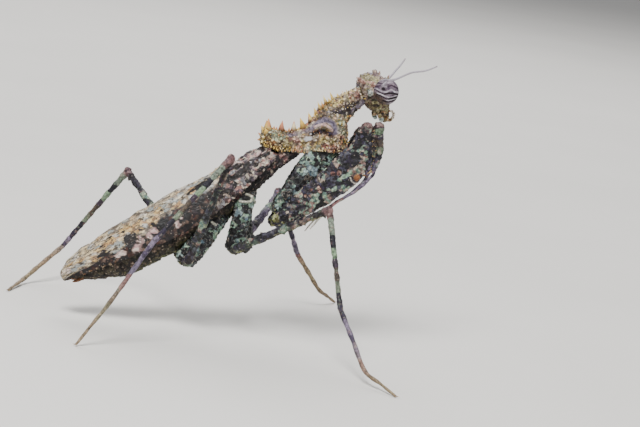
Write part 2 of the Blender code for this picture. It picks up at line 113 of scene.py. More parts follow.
def skin(rows, ring):
    """Two triangles for each cell of a grid of that many rows whose points close round the ring."""
    a = np.arange(rows - 1)[:, None] * ring + np.arange(ring)
    b = a - a % ring + (a + 1) % ring
    return [np.stack(three, -1).reshape(-1, 3) for three in ((a, b, b + ring), (a, b + ring, a + ring))]


def held(values):
    """The values, those under 0 raised to 0 and those over 1 brought down to it."""
    return np.clip(values, 0, 1)


def loft(centre, side, up, ring=32, power=2.0):
    """At each station a point runs round centre + side·c + up·s, where c and s are the cosine and sine of
    its angle raised to 2/power; both ends are closed on their centres. Gives points and triangles."""
    c, s = oval(np.linspace(0, 2 * np.pi, ring, endpoint=False)[None, :, None], power)
    grid = centre[:, None] + side[:, None] * c + up[:, None] * s
    points = np.vstack((grid.reshape(-1, 3), centre[:1], centre[-1:]))
    first, last = len(points) - 2, len(points) - 1
    low = np.arange(ring)
    high = low + (len(centre) - 1) * ring
    faces = np.vstack((
        *skin(len(centre), ring),
        np.stack((np.full(ring, first), (low + 1) % ring, low), -1),
        np.stack((np.full(ring, last), high, high[0] + (low + 1) % ring), -1),
    ))
    corner = points[faces] - points.mean(0)
    volume = np.einsum("ij,ij->i", corner[:, 0], np.cross(corner[:, 1], corner[:, 2])).sum()
    return points, faces if volume > 0 else faces[:, ::-1]


def joined(shapes):
    """Several lists of points and triangles as one."""
    starts = np.cumsum([0] + [len(points) for points, faces in shapes[:-1]])
    faces = [faces + start for start, (points, faces) in zip(starts, shapes)]
    return np.vstack([points for points, _ in shapes]), np.vstack(faces)


def blank(name, points, faces):
    """A mesh of these points and faces."""
    mesh = bpy.data.meshes.new(name)
    mesh.from_pydata(points.tolist(), [], faces.tolist())
    return mesh


def fuse(name, shapes, voxel, ease=4):
    """One unbroken hide round overlapping closed shapes: Remesh rebuilds them all in small cubes of space
    and Smooth takes the steps off. Gives the mesh with its points and their normals, in millimetres."""
    draft = bpy.data.objects.new(name, blank(name, *joined(shapes)))
    bpy.context.scene.collection.objects.link(draft)
    rebuild = draft.modifiers.new("rebuild", "REMESH")
    rebuild.mode = "VOXEL"
    rebuild.voxel_size = voxel
    smooth = draft.modifiers.new("ease", "SMOOTH")
    smooth.factor = 0.5
    smooth.iterations = ease
    graph = bpy.context.evaluated_depsgraph_get()
    mesh = bpy.data.meshes.new_from_object(draft.evaluated_get(graph))
    bpy.data.objects.remove(draft)
    mesh.name = name
    points = np.empty(len(mesh.vertices) * 3)
    normals = np.empty(len(mesh.vertices) * 3)
    mesh.vertices.foreach_get("co", points)
    mesh.vertices.foreach_get("normal", normals)
    return mesh, points.reshape(-1, 3), normals.reshape(-1, 3)


def chance(cell, seed):
    """A fixed number from 0 to 1 for each numbered cell of space: the broken part of a large sine."""
    wave = np.sin(cell @ np.array((12.9898, 78.233, 37.719)) + seed * 4.137)
    return np.modf(np.abs(wave * 43758.5453))[0]


def swell(points, size, seed=0):
    """Soft lumps from -1 to 1: chance values at the corners of cubes of that size, eased between them."""
    spot = points / size + FAR_CELL
    cell = np.floor(spot)
    u = spot - cell
    u = u * u * (3 - 2 * u)
    total = np.zeros(len(points))
    for corner in itertools.product((0, 1), repeat=3):
        share = np.prod(np.where(corner, u, 1 - u), axis=1)
        total += share * chance(cell + corner, seed)
    return 2 * total - 1


def marks(flat, spots, seed=0, rag=0.3):
    """How far inside any of the round spots each place lies, on two of its coordinates: 1 within, 0
    outside, with the edges shaken by lumps."""
    solid = np.column_stack((flat, 0 * flat[:, 0]))
    shake = rag * swell(solid, 0.45, seed) + 0.6 * rag * swell(solid, 0.2, seed + 1)
    near = [np.linalg.norm(flat - (at, level), axis=1) / size for at, level, size in spots]
    return held(4 * (1.0 - np.min(near, axis=0) + shake))


def pebbles(points, size, seed=0):
    """Close-packed round grains, 1 on a grain and 0 between: one seed point in each cube of that size,
    and 1 less the distance to the nearest of them."""
    spot = points / size + FAR_CELL
    cell = np.floor(spot)
    nearest = np.full(len(points), 9.0)
    for step in itertools.product((-1, 0, 1), repeat=3):
        other = cell + step
        seeds = other + np.stack([chance(other, seed + k) for k in (0.3, 1.7, 2.9)], axis=1)
        nearest = np.minimum(nearest, ((seeds - spot) ** 2).sum(1))
    return held(1 - np.sqrt(nearest) / 0.85)


def show(name, mesh, points, finish, slot, nodes=(), **weights):
    """Sets a mesh's points, in metres and inside the CAD box, and its paint weights, and hands it over."""
    places = np.clip((points + HOME) * 0.001, *cad_box)
    mesh.vertices.foreach_set("co", places.ravel())
    for key, values in weights.items():
        layer = mesh.attributes.new(key, "FLOAT", "POINT")
        values = np.broadcast_to(values, len(points))
        layer.data.foreach_set("value", np.ascontiguousarray(values, np.float32))
    mesh.shade_smooth()
    mesh.materials.clear()
    mesh.materials.append(finish)
    mesh.update()
    piece = bpy.data.objects.new(name, mesh)
    bpy.context.scene.collection.objects.link(piece)
    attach(piece, "root")
    if nodes:
        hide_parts(*nodes)
    return piece


def tint(red, green, blue):
    """A colour in screen values from 0 to 255, deepened so that soft light doesn't wash it out."""
    return tuple((value / 255) ** 3.1 for value in (red, green, blue))


class Shade:
    """One output of a material's nodes. Sums and products of it add their Math nodes."""

    def __init__(self, tree, socket=None):
        self.tree = tree
        self.socket = socket

    def node(self, kind, inputs=(), settings=(), output=0):
        """Adds a node: its settings first, then a value or another Shade for each socket it is given."""
        made = self.tree.nodes.new(kind)
        for key, value in dict(settings).items():
            if key == "stops":
                made.color_ramp.interpolation = "CONSTANT"
                while len(made.color_ramp.elements) < len(value):
                    made.color_ramp.elements.new(1.0)
                for stop, (position, colour) in zip(made.color_ramp.elements, value):
                    stop.position = position
                    stop.color = (*colour, 1.0)
            else:
                setattr(made, key, value)
        for key, value in dict(inputs).items():
            socket = made.inputs[key]
            if isinstance(value, Shade):
                self.tree.links.new(value.socket, socket)
            elif socket.type == "RGBA":
                socket.default_value = (*value, 1.0)
            else:
                socket.default_value = value
        return Shade(self.tree, made.outputs[output])

    def math(self, operation, *values):
        """A Math node of that operation on the values."""
        return self.node("ShaderNodeMath", enumerate(values), {"operation": operation})

    def __add__(self, other):
        return self.math("ADD", self, other)

    def __sub__(self, other):
        return self.math("SUBTRACT", self, other)

    def __rsub__(self, other):
        return self.math("SUBTRACT", other, self)

    def __mul__(self, other):
        return self.math("MULTIPLY", self, other)

    __radd__ = __add__
    __rmul__ = __mul__

    def above(self, low, high):
        """0 where this is under low, 1 over high and eased between."""
        return self.node("ShaderNodeMapRange", {0: self, 1: low, 2: high},
                         {"interpolation_type": "SMOOTHSTEP"})

    def blend(self, first, second, way="MIX"):
        """The first colour, and the second one by this much."""
        return self.node("ShaderNodeMix", {0: self, 6: first, 7: second},
                         {"data_type": "RGBA", "blend_type": way}, 2)

    def weight(self, key):
        """A paint weight that the mesh carries."""
        return self.node("ShaderNodeAttribute", (), {"attribute_name": key}, 2)

    def moved(self, other, much):
        """These places pushed by another vector."""
        return self.node("ShaderNodeVectorMath", {0: other, 1: (much,) * 3, 2: self},
                         {"operation": "MULTIPLY_ADD"})

    def cloud(self, size, detail=2.0, output=0):
        """Noise whose lumps are about size millimetres across."""
        return self.node("ShaderNodeTexNoise", {"Vector": self, "Scale": 1 / size, "Detail": detail},
                         output=output)

    def dots(self, size, output=0, warp=0.3):
        """Ragged cells of about size millimetres: how far from its middle, or its own colour."""
        shaken = self.moved(self.cloud(size * 0.6, 2.0, 1), size * warp)
        return self.node("ShaderNodeTexVoronoi", {"Vector": shaken, "Scale": 1 / size}, output=output)

    def net(self, size, thick=0.1, warp=0.5):
        """Thin lines between ragged cells of about size millimetres: 1 on a line, 0 inside a cell."""
        shaken = self.moved(self.cloud(size * 0.8, 2.0, 1), size * warp)
        edge = self.node("ShaderNodeTexVoronoi", {"Vector": shaken, "Scale": 1 / size},
                         {"feature": "DISTANCE_TO_EDGE"})
        return 1 - edge.above(thick * 0.5, thick * 1.6)

    def grained(self, colour, size, depth=0.8, spread=0.6, warp=0.5):
        """The colour broken into rounded grains of about that size: dark between them by depth, and by
        spread some grains deeper in tone than others."""
        gap = self.dots(size, 0, warp).above(0.3, 0.56)
        luck = self.node("ShaderNodeSeparateColor", {0: self.dots(size, 1, warp)})
        deeper = (luck.above(0.1, 0.9) * spread).blend(colour, (0.22, 0.19, 0.20), "MULTIPLY")
        return (gap * depth).blend(deeper, (0.10, 0.075, 0.075), "MULTIPLY")

    def ramp(self, starts, colours):
        """The colour whose start this value, from 0 to 1, has last passed."""
        stops = [(start, tint(*colour)) for start, colour in zip(starts, colours)]
        return self.node("ShaderNodeValToRGB", {0: self}, {"stops": stops})

    def patchwork(self, size, colours, warp=0.8):
        """Ragged patches of about size millimetres, each in one of the colours by chance."""
        picked = self.node("ShaderNodeSeparateColor", {0: self.dots(size, 1, warp)})
        return picked.ramp(np.arange(len(colours)) / len(colours), colours)

    def patched(self, key, colour, size, colours, share=1.0):
        """The colour under a patchwork, by that share, wherever the mesh carries that paint weight."""
        return (self.weight(key) * share).blend(colour, self.patchwork(size, colours))

    def speckled(self, colour, size, reach, paint, share, warp=0.6):
        """The colour with a round speck of paint, by that share, in each cell: solid within the first
        reach from the cell's middle and gone past the second."""
        specks = 1 - self.dots(size, 0, warp).above(*reach)
        return (specks * share).blend(colour, tint(*paint))

    def shade_pits(self, colour, low, high, depth, dark):
        """The colour darkened by depth as painted shade in the gaps between the carved grains, and the
        grains' own height."""
        grains = self.weight("relief").above(low, high)
        return (depth - depth * grains).blend(colour, tint(*dark)), grains


def finish(name, paint, gloss=0.0, relief=0.03, grit=0.0):
    """A hide finish: paint takes the places in millimetres and gives colour, roughness and fine height;
    grit is how strongly fine dark dirt and pale flecks cover the colour."""
    material = bpy.data.materials.new(name)
    material.use_nodes = True
    tree = material.node_tree
    shader = tree.nodes["Principled BSDF"]
    places = Shade(tree).node("ShaderNodeTexCoord", output=3)
    places = places.node("ShaderNodeVectorMath", {0: places, 3: 1000.0}, {"operation": "SCALE"})
    colour, roughness, height = paint(places)
    if grit:
        dirt = 1 - places.cloud(0.2, 3.0).above(0.34, 0.5)
        colour = (dirt * grit).blend(colour, (0.12, 0.10, 0.11), "MULTIPLY")
        colour = places.speckled(colour, 0.4, (0.1, 0.2), (226, 216, 204), grit * 0.6)
    bump = places.node("ShaderNodeBump", {"Strength": 1.0, "Distance": relief * 0.001, "Height": height})
    for key, value in (("Base Color", colour), ("Roughness", roughness), ("Normal", bump)):
        tree.links.new(value.socket, shader.inputs[key])
    shader.inputs["Coat Weight"].default_value = gloss
    shader.inputs["Coat Roughness"].default_value = 0.15
    shader.inputs["Specular IOR Level"].default_value = 0.4
    return material


def barrel(rows, count=70):
    """A stretch of the trunk: squarish ovals whose back, belly and width follow the rows."""
    s = np.linspace(rows[0][0], rows[-1][0], count)
    back, belly, half_width = curve(rows, s).T
    centre = trunk(s, 0.0, (back + belly) / 2)
    return loft(centre, half_width[:, None] * LEFTWARDS, trunk(s, 0.0, back) - centre, 40, TRUNK_POWER)


def trunk_hide(place):
    """Bark brown and olive grains with near-black painted shade in the pits between them; plum, cream and
    rust flakes over the thorax, green along the belly."""
    bark = place.patchwork(0.4, [(84, 72, 58), (122, 108, 92), (58, 50, 38), (146, 128, 114),
        (104, 96, 74), (80, 62, 52), (120, 112, 92), (50, 44, 34)])
    damp = place.patchwork(0.34, [(30, 22, 30), (58, 48, 58), (36, 28, 34), (92, 78, 86), (70, 50, 48),
        (24, 18, 24)])
    flakes = place.patchwork(0.34, [(176, 160, 148), (140, 124, 122), (204, 192, 176), (112, 98, 102),
        (166, 132, 124), (150, 148, 150), (84, 70, 72)])
    front = place.cloud(0.9, 4.0).above(0.535, 0.58).blend(damp, flakes)
    colour = place.weight("thorax").blend(bark, front)
    colour = place.patched("rosy", colour, 0.35, [(186, 146, 140), (132, 92, 90), (204, 182, 170),
        (84, 56, 58)])
    colour = place.patched("belly", colour, 0.35, [(120, 126, 84), (76, 80, 54), (156, 154, 116),
        (92, 92, 64), (56, 58, 40)])
    colour = place.grained(colour, 0.24, 0.5, 0.5)
    colour = place.speckled(colour, 0.5, (0.13, 0.22), (186, 172, 158), 0.8)
    # painted shade: near-black in the pits between the carved grains
    colour, grains = place.shade_pits(colour, 0.05, 0.5, 0.7, (18, 14, 16))
    return colour, 0.5 + 0.35 * place.cloud(0.25), place.cloud(0.08, 3.0) + 0.6 * grains


mesh, points, normals = fuse("trunk_hide", [barrel(THORAX), barrel(ABDOMEN)], voxel=0.085)
along = (points[:, 0] - TAIL[0]) * math.cos(PITCH) + (points[:, 2] - TAIL[1]) * math.sin(PITCH)
height = (points[:, 2] - TAIL[1]) * math.cos(PITCH) - (points[:, 0] - TAIL[0]) * math.sin(PITCH)
on_thorax = held((along - 16.5) / 2)
ring_step = np.modf(along / RING_LENGTH + 0.1 * swell(points, 1.5, 5) + 2)[0] - 0.5
grain = pebbles(points, 0.42, 1)
rise = (0.16 * ring_step * (1 - on_thorax) + (0.12 + 0.08 * on_thorax) * (grain - 0.5)
        + 0.07 * (pebbles(points, 0.2, 2) - 0.5) + (0.07 + 0.17 * on_thorax) * swell(points, 1.1, 3))
points = points + normals * (rise - 0.08)[:, None]
show("trunk_hide", mesh, points, finish("trunk_bark", trunk_hide, grit=0.3), "bark", ["thorax", "abdomen"],
     thorax=held(on_thorax + 0.5 * swell(points, 0.8, 7)) * (on_thorax > 0.02),
     rosy=marks(points[:, ::2], ROSY, 6), relief=grain,
     belly=held(-1.1 * (3.1 + height) + 0.5 * swell(points, 0.4, 9)))


# ----------------------------------------------------------------------
# Cerci. Two short horny tail feelers, fixed to the end of the abdomen below the wing tips. The real ones
# are a row of rings, so each is one tube that swells at every ring and is dark between them.

BEADS = 7                               # rings of one cercus


def unit(vectors):
    """The same directions with length 1."""
    return vectors / np.maximum(np.linalg.norm(vectors, axis=-1, keepdims=True), 1e-9)


def tube(path, radii, count, bead=0.0, beads=1):
    """A round limb along a smooth curve through the path's places; its radius follows the radii, and
    swells by the share bead at the middle of each of its beads."""
    path = np.array(path, float)
    key = np.concatenate(((0.0,), np.cumsum(np.linalg.norm(np.diff(path, axis=0), axis=1))))
    line = curve(np.column_stack((key, path, radii)), np.linspace(0, key[-1], count))
    centre = line[:, :3]
    forward = unit(np.gradient(centre, axis=0))
    chord = np.abs(path[-1] - path[0])
    axis = np.eye(3)[chord.argmin()]
    side = unit(axis - forward * (forward @ axis)[:, None])
    radius = line[:, 3:] * (1 + bead * np.cos(np.linspace(0, 2 * np.pi * beads, count) + np.pi))[:, None]
    return centre, side * radius, np.cross(forward, side) * radius


def thread(path, radii, count, ring, bead, beads):
    """A beaded thread's points and faces, and how far along it each point lies, from 0 to 1."""
    points, faces = loft(*tube(path, radii, count, bead, beads), ring)
    return points, faces, np.append(np.repeat(np.linspace(0, 1, count), ring), (0, 1))


def cercus_hide(place):
    """Orange brown with dark rings where the beads meet."""
    colour = place.cloud(0.15).above(0.35, 0.65).blend(tint(170, 128, 92), tint(116, 84, 62))
    colour = place.weight("joint").blend(colour, tint(52, 34, 34))
    return colour, 0.5 + 0.2 * place.cloud(0.2), place.cloud(0.06)


cercus_finish = finish("cercus_orange", cercus_hide)
for side, sign in SIDES.items():
    path = [trunk(2.0, 0.5 * sign, -1.65), trunk(1.4, 0.55 * sign, -1.6), trunk(0.85, 0.6 * sign, -1.45)]
    points, faces, share = thread(path, [0.2, 0.19, 0.07], 56, 16, 0.09, BEADS)
    show("cercus_ringed_" + side, blank("cercus", points, faces), points, cercus_finish, "foot_brown",
         ["cercus_" + side], joint=np.cos(share * 2 * np.pi * BEADS) ** 8)


# ----------------------------------------------------------------------
# Wings. Two leathery covers folded like a roof over the abdomen, the right one lapping over the left
# along the ridge. Veins run the length of them, and bark-like blotches in a row along each side.

# s, height of the ridge, height of the outer margin, half width
WINGS = [(-0.3, 0.10, -0.95, 0.60), (0.4, 0.32, -1.00, 0.95), (1.4, 0.62, -1.05, 1.45),
    (4.0, 0.95, -1.40, 2.15), (7.5, 1.12, -2.00, 2.70), (12.0, 1.10, -2.50, 2.95),
    (16.0, 0.95, -2.60, 2.90), (20.0, 0.70, -2.15, 2.65), (23.0, 0.45, -1.55, 2.50),
    (25.3, 0.25, -1.05, 2.25)]
WING_THICKNESS = 0.22
LAPS = {"right": 0.35, "left": -0.05}   # how far each cover reaches over the ridge
COVER_DEPTH = 4.0                       # from the ridge down to the margin, along the skin
LONGER = 0.7                            # blotches are drawn out lengthwise: s counts by this share
# Marks on a cover: distance s from the tip, distance down from the ridge, and size
DARK_BLOTCHES = [(8.4, 2.54, 0.55), (7.9, 2.75, 0.42), (8.85, 2.37, 0.36), (4.9, 2.59, 0.42),
    (5.3, 2.77, 0.3), (10.95, 2.37, 0.3), (11.6, 2.65, 0.4), (12.6, 2.21, 0.22), (13.4, 2.12, 0.22),
    (12.4, 1.38, 0.12), (11.6, 0.92, 0.1), (7.93, 1.51, 0.12), (5.54, 1.87, 0.14), (5.3, 1.66, 0.12),
    (6.54, 1.24, 0.12), (2.6, 2.18, 0.3), (15.6, 1.4, 0.14), (16.2, 1.12, 0.34), (16.9, 1.17, 0.46),
    (17.6, 1.13, 0.5), (18.4, 0.94, 0.4), (16.3, 2.79, 0.45), (14.3, 3.05, 0.4), (19.7, 1.98, 0.5),
    (20.8, 2.46, 0.6), (22.0, 2.1, 0.6), (23.2, 2.5, 0.6), (21.4, 1.43, 0.4), (23.0, 1.25, 0.35),
    (18.6, 2.91, 0.5), (24.6, 2.14, 0.5), (19.4, 1.04, 0.3)]
PALE_BLOTCHES = [(0.8, 2.11, 0.34), (1.1, 2.73, 0.24), (22.9, 0.58, 0.3), (21.0, 0.57, 0.38),
    (24.6, 1.17, 0.28), (23.8, 0.77, 0.3), (20.2, 0.47, 0.3), (21.9, 0.86, 0.24), (6.6, 3.35, 0.32),
    (8.3, 3.35, 0.5), (9.0, 3.1, 0.34), (9.9, 3.05, 0.34), (10.6, 2.85, 0.26), (13.0, 3.2, 0.32),
    (13.8, 3.0, 0.22), (6.1, 3.5, 0.24)]
ASHEN_BLOTCHES = [(15.6, 1.77, 0.3), (16.3, 1.77, 0.32), (17.1, 1.82, 0.3), (17.9, 1.74, 0.28),
    (14.9, 1.77, 0.3), (8.0, 2.05, 0.3), (10.2, 2.17, 0.26), (6.3, 2.36, 0.3), (13.8, 1.02, 0.4),
    (10.6, 1.37, 0.3), (15.0, 0.84, 0.3)]
OCHRE_PATCHES = [(8.0, 1.34, 0.55), (9.05, 1.84, 0.5), (8.5, 1.7, 0.45), (5.1, 2.12, 0.5),
    (5.6, 1.75, 0.3), (12.3, 1.24, 0.4), (14.2, 1.72, 0.45), (4.3, 2.74, 0.4), (10.9, 2.0, 0.35),
    (1.5, 1.28, 0.4), (2.6, 1.92, 0.4), (16.3, 1.12, 0.5), (19.0, 1.04, 0.4), (9.8, 1.63, 0.35),
    (6.4, 1.76, 0.35)]
# Where the pale back of a cover ends and its dark side begins: s and distance down from the ridge
DIVIDE = [(0.0, 3.54), (4.45, 3.08), (7.7, 2.83), (9.8, 2.57), (12.0, 2.2), (14.5, 1.95), (16.8, 2.06),
    (20.0, 1.51), (25.5, 1.18)]


def wing_cover(sign, lap, count=270, around=70):
    """A cover: at s its outside is y = w·cos(a)^0.9, h = m + (r - m)·sin(a)^0.9 with a from the ridge
    down to the margin. Veins lift it, and the inside is the same skin moved in by the thickness."""
    s, a = np.meshgrid(np.linspace(0.1, 25.3, count), np.linspace(np.pi / 2, 0.0, around), indexing="ij")
    down = 1 - a / (np.pi / 2)
    s = s + 1.2 * held(1 - (s - 0.1) / 3) * (1.3 * (down - 0.8)) ** 2     # the tip is rounded
    ridge, margin, half_width = (column.reshape(s.shape) for column in curve(WINGS, s.ravel()).T)
    # some twenty veins run lengthwise, with short ones across every 0.31 mm
    veins = np.cos(2 * np.pi * (9.5 * down + 0.012 * s * s * down)) ** 6
    cross = np.cos(2 * np.pi * (s / 0.62 + 0.35 * np.sin(19 * down + s))) ** 10
    place = trunk(s, sign * half_width * np.cos(a) ** 0.9, margin + (ridge - margin) * np.sin(a) ** 0.9)
    flat = place.reshape(-1, 3)
    stretched = np.stack((s.ravel() * 0.45, down.ravel() * 4.0, 0 * s.ravel()), -1) + 3 * sign
    grain = pebbles(flat, 0.34, 4 + sign).reshape(s.shape)
    front = held((s - 16) / 4)
    rough = (0.05 * veins + 0.025 * cross + (0.06 + 0.10 * front) * grain
             + 0.09 * swell(stretched, 0.5, 6 + sign).reshape(s.shape)
             + (0.07 + 0.10 * front) * swell(flat, 0.9, 8 + sign).reshape(s.shape))
    rise = rough - 0.2 - 0.08 * front
    over = lap * held((0.16 - down) / 0.16) ** 0.7     # the lap over or under the other cover
    thin = WING_THICKNESS * np.clip(down * 12, 0.25, 1) * np.clip((1 - down) * 14, 0.3, 1)
    both = []
    for inner in (0.0, 1.0):
        w = half_width + rise - inner * thin
        m = margin + 0.04 * np.sin(7 * s) * (down > 0.97)
        r = ridge + rise - inner * thin + (0.09 if lap > 0 else -0.12) * held(1 - down * 6)
        y = w * np.cos(a) ** 0.9 - over + (0.02 if lap < 0 else 0) * (1 - down)
        both.append(trunk(s, sign * y, m + (r - m) * np.sin(a) ** 0.9))
    points = np.concatenate((both[0], both[1][:, ::-1]), axis=1)
    ring = 2 * around
    half = np.arange(around - 1)
    back = ring - 1 - half
    ends = [np.stack((half, half + 1, back), -1), np.stack((half + 1, back - 1, back), -1)]
    last = (count - 1) * ring
    faces = np.vstack((
        *skin(count, ring), *(end[:, ::-1] for end in ends), *(end + last for end in ends)))
    if sign < 0:
        faces = faces[:, ::-1]
    vein = np.maximum(veins, 0.8 * cross)
    paints = [np.concatenate((paint, paint[:, ::-1]), axis=1).ravel() for paint in (s, down, vein, grain)]
    return points.reshape(-1, 3), faces, paints


def wing_leather(place):
    """Cream leather in long flakes with ochre, brown and blue-grey ones, dark dashes and blotches; the
    side is dark red brown in small flakes, with pinkish patches and a dotted margin, and the front dark
    plum."""
    flow = place.node("ShaderNodeCombineXYZ", {0: place.weight("run") * 0.45, 1: place.weight("girth")})
    cream = flow.patchwork(0.3, [(206, 194, 168), (164, 150, 132), (230, 222, 204), (126, 116, 108),
        (194, 168, 134), (150, 160, 162), (216, 200, 168), (76, 58, 48), (190, 186, 180), (48, 36, 32)],
        0.6)
    fine = flow.patchwork(0.15, [(220, 206, 178), (146, 128, 108), (190, 182, 168), (96, 80, 68)], 0.6)
    cream = (flow.cloud(0.3, 3.0).above(0.45, 0.62) * 0.6).blend(cream, fine)
    colour = flow.patched("ochre", cream, 0.2, [(204, 174, 116), (184, 146, 90), (214, 192, 144),
        (132, 96, 60)], 0.85)
    side = place.patchwork(0.34, [(58, 42, 40), (92, 72, 66), (32, 24, 30), (72, 56, 62),
        (134, 114, 102), (46, 34, 38), (110, 74, 62), (26, 20, 24)], 0.8)
    colour = place.weight("side").blend(colour, place.grained(side, 0.34, 0.6, 0.4))
    damp = place.patchwork(0.3, [(34, 26, 34), (66, 56, 66), (24, 18, 24), (96, 84, 92), (78, 52, 50),
        (42, 34, 42)])
    flakes = place.patchwork(0.34, [(190, 174, 162), (226, 216, 200), (142, 132, 134), (202, 166, 156),
        (166, 166, 168), (112, 92, 88), (222, 214, 198), (130, 114, 122)])
    plum = place.cloud(0.8, 4.0).above(0.44, 0.485).blend(damp, flakes)
    colour = place.weight("plum").blend(colour, place.grained(plum, 0.24, 0.4, 0.4))
    colour = flow.patched("ashen", colour, 0.2, [(198, 202, 200), (168, 178, 180), (214, 212, 204),
        (140, 146, 148)], 0.8)
    dashes = flow.cloud(0.2, 3.0).above(0.545, 0.59)
    fore = place.weight("fore")
    colour = (dashes * 0.8 * (1 - fore)).blend(colour, tint(60, 44, 38))
    colour = place.speckled(colour, 0.55, (0.15, 0.22), (50, 34, 28), 0.9 - 0.5 * fore, 0.5)
    colour = (place.weight("vein") * 0.22 * (1 - fore)).blend(colour, tint(226, 212, 186))
    colour = place.patched("pale", colour, 0.4, [(204, 184, 180), (188, 160, 158), (216, 202, 194),
        (162, 138, 134), (198, 176, 168)])
    dark = flow.patchwork(0.18, [(28, 20, 20), (44, 32, 28), (20, 14, 18), (62, 48, 42)], 0.5)
    ragged = (place.cloud(0.22, 3.0) + 0.35 * place.weight("dark")).above(0.5, 0.6)
    colour = (place.weight("dark") * ragged).blend(colour, dark)
    colour = place.patched("edge", colour, 0.22, [(160, 124, 90), (52, 34, 30), (194, 174, 148)])
    # painted shade: dark brown in the pits between the carved grains
    colour, grains = place.shade_pits(colour, 0.0, 0.4, 0.45, (56, 44, 40))
    height = place.cloud(0.07, 3.0) + 0.5 * place.weight("vein") + 0.5 * grains
    return colour, 0.5 + 0.25 * place.cloud(0.3), height


wing_finish = finish("wing_leather", wing_leather, gloss=0.05, grit=0.35)
for side, sign in SIDES.items():
    points, faces, (s, down, vein, grain) = wing_cover(sign, LAPS[side])
    below = COVER_DEPTH * down
    flat = np.stack((s, below), -1) * (LONGER, 1)
    kinds = (("dark", DARK_BLOTCHES, 20, 0.7), ("pale", PALE_BLOTCHES, 24, 0.5),
             ("ochre", OCHRE_PATCHES, 30, 0.6), ("ashen", ASHEN_BLOTCHES, 36, 0.5))
    patches = {key: marks(flat, np.array(spots) * (LONGER, 1, 1), seed + sign, rag)
               for key, spots, seed, rag in kinds}
    limit = np.interp(s, *np.transpose(DIVIDE)) + 0.2 * swell(np.stack((s, below, 0 * s), -1), 0.8, 27)
    past = (below - limit) * 5
    show("wing_cover_" + side, blank("wing", points, faces), points, wing_finish, "wing_bark",
         ["wing_" + side], side=held(past), fore=held(np.maximum(past, (s - 18) * 0.8)), **patches,
         plum=held((s + 3.5 * down - 20.2) * 0.9 + 0.8 * swell(points, 0.9, 28)) * (s > 14),
         vein=vein, run=s, girth=below + 9 * sign, relief=grain,
         edge=held((down - 0.94) * 14) * (np.sin(s * 9.0) > 0.1) * (s < 6.5))


# ----------------------------------------------------------------------
# Pronotum. The long shield behind the head: a low spiny block over the thorax that swells above the
# forelegs and climbs steeply as a neck. One hard plate, crusted with grains and thorns like old lichen.

# position, x and z of the lower edge, x and z of the upper edge, half width
PRONOTUM = [(0.0, -7.40, 20.35, -7.45, 21.00, 0.60), (1.0, -6.85, 19.80, -6.95, 21.80, 1.30),
    (2.0, -5.50, 19.65, -5.60, 21.85, 1.50), (3.0, -4.10, 19.65, -4.35, 21.90, 1.50),
    (4.0, -2.50, 19.80, -3.10, 22.50, 1.65), (5.0, -0.90, 19.85, -2.15, 23.85, 1.95),
    (6.0, 0.75, 20.15, -1.40, 25.05, 2.00), (7.0, 1.60, 21.40, -0.45, 25.80, 1.65),
    (8.0, 1.30, 23.20, 0.40, 26.30, 1.35), (9.0, 1.65, 24.40, 1.10, 26.70, 1.20),
    (10.0, 2.40, 25.10, 1.75, 27.10, 1.10), (11.0, 2.90, 25.60, 2.10, 27.20, 0.85)]
SHIELD_POWER = 2.4                      # how square its ovals are
# The groove, the arch below it, the hollow under that and the spiny rim, as (x, z) lines on the side
GROOVE = [(-4.7, 21.8), (-3.9, 22.1), (-3.2, 22.4), (-2.6, 22.85), (-1.9, 23.5), (-1.3, 23.75),
    (-0.6, 23.5), (-0.2, 23.0), (-0.1, 22.5)]
ARCH = [(-2.4, 22.85), (-2.0, 23.1), (-1.45, 23.2), (-0.9, 22.98), (-0.55, 22.7)]
HOLLOW = [(-2.5, 22.1), (-1.9, 22.4), (-1.2, 22.45), (-0.5, 22.2)]
LOWER_RIM = [(-3.9, 20.2), (-2.4, 20.4), (-1.0, 20.55), (0.4, 20.8), (1.2, 21.1)]
# Patches of the crust: x, z and size
BLUSHES = [(-0.95, 21.0, 0.38), (0.1, 20.9, 0.5), (0.45, 20.7, 0.4), (0.7, 22.15, 0.22),
    (-4.3, 21.4, 0.45), (-3.7, 21.2, 0.3), (1.7, 26.4, 0.4), (1.0, 26.2, 0.3), (-2.2, 24.2, 0.3),
    (-2.4, 23.6, 0.3)]
ORANGES = [(-6.6, 20.4, 0.5), (-5.9, 20.15, 0.5), (-6.9, 21.9, 0.35), (-7.0, 22.3, 0.3),
    (-2.3, 22.2, 0.25), (-1.7, 22.0, 0.2), (-7.1, 20.9, 0.3), (-5.2, 22.4, 0.25), (-1.1, 22.0, 0.22)]
LEMONS = [(-2.0, 20.9, 0.4), (-1.2, 21.5, 0.4), (-3.3, 20.9, 0.4), (0.1, 25.8, 0.4), (0.9, 26.2, 0.35),
    (-0.9, 25.3, 0.45), (-1.4, 24.9, 0.35), (-4.9, 20.5, 0.45), (-2.1, 25.2, 0.3), (-0.4, 21.6, 0.3),
    (-0.4, 25.4, 0.3), (-3.2, 22.7, 0.3), (-4.1, 22.2, 0.3)]
SAGES = [(-6.9, 22.0, 0.4), (-6.2, 21.2, 0.4), (-5.4, 21.3, 0.35), (0.3, 23.8, 0.45), (0.4, 23.0, 0.5),
    (0.8, 24.5, 0.4), (-1.7, 20.75, 0.35), (0.65, 22.3, 0.45), (0.95, 21.6, 0.3), (-2.5, 20.5, 0.3),
    (-7.0, 22.6, 0.3)]
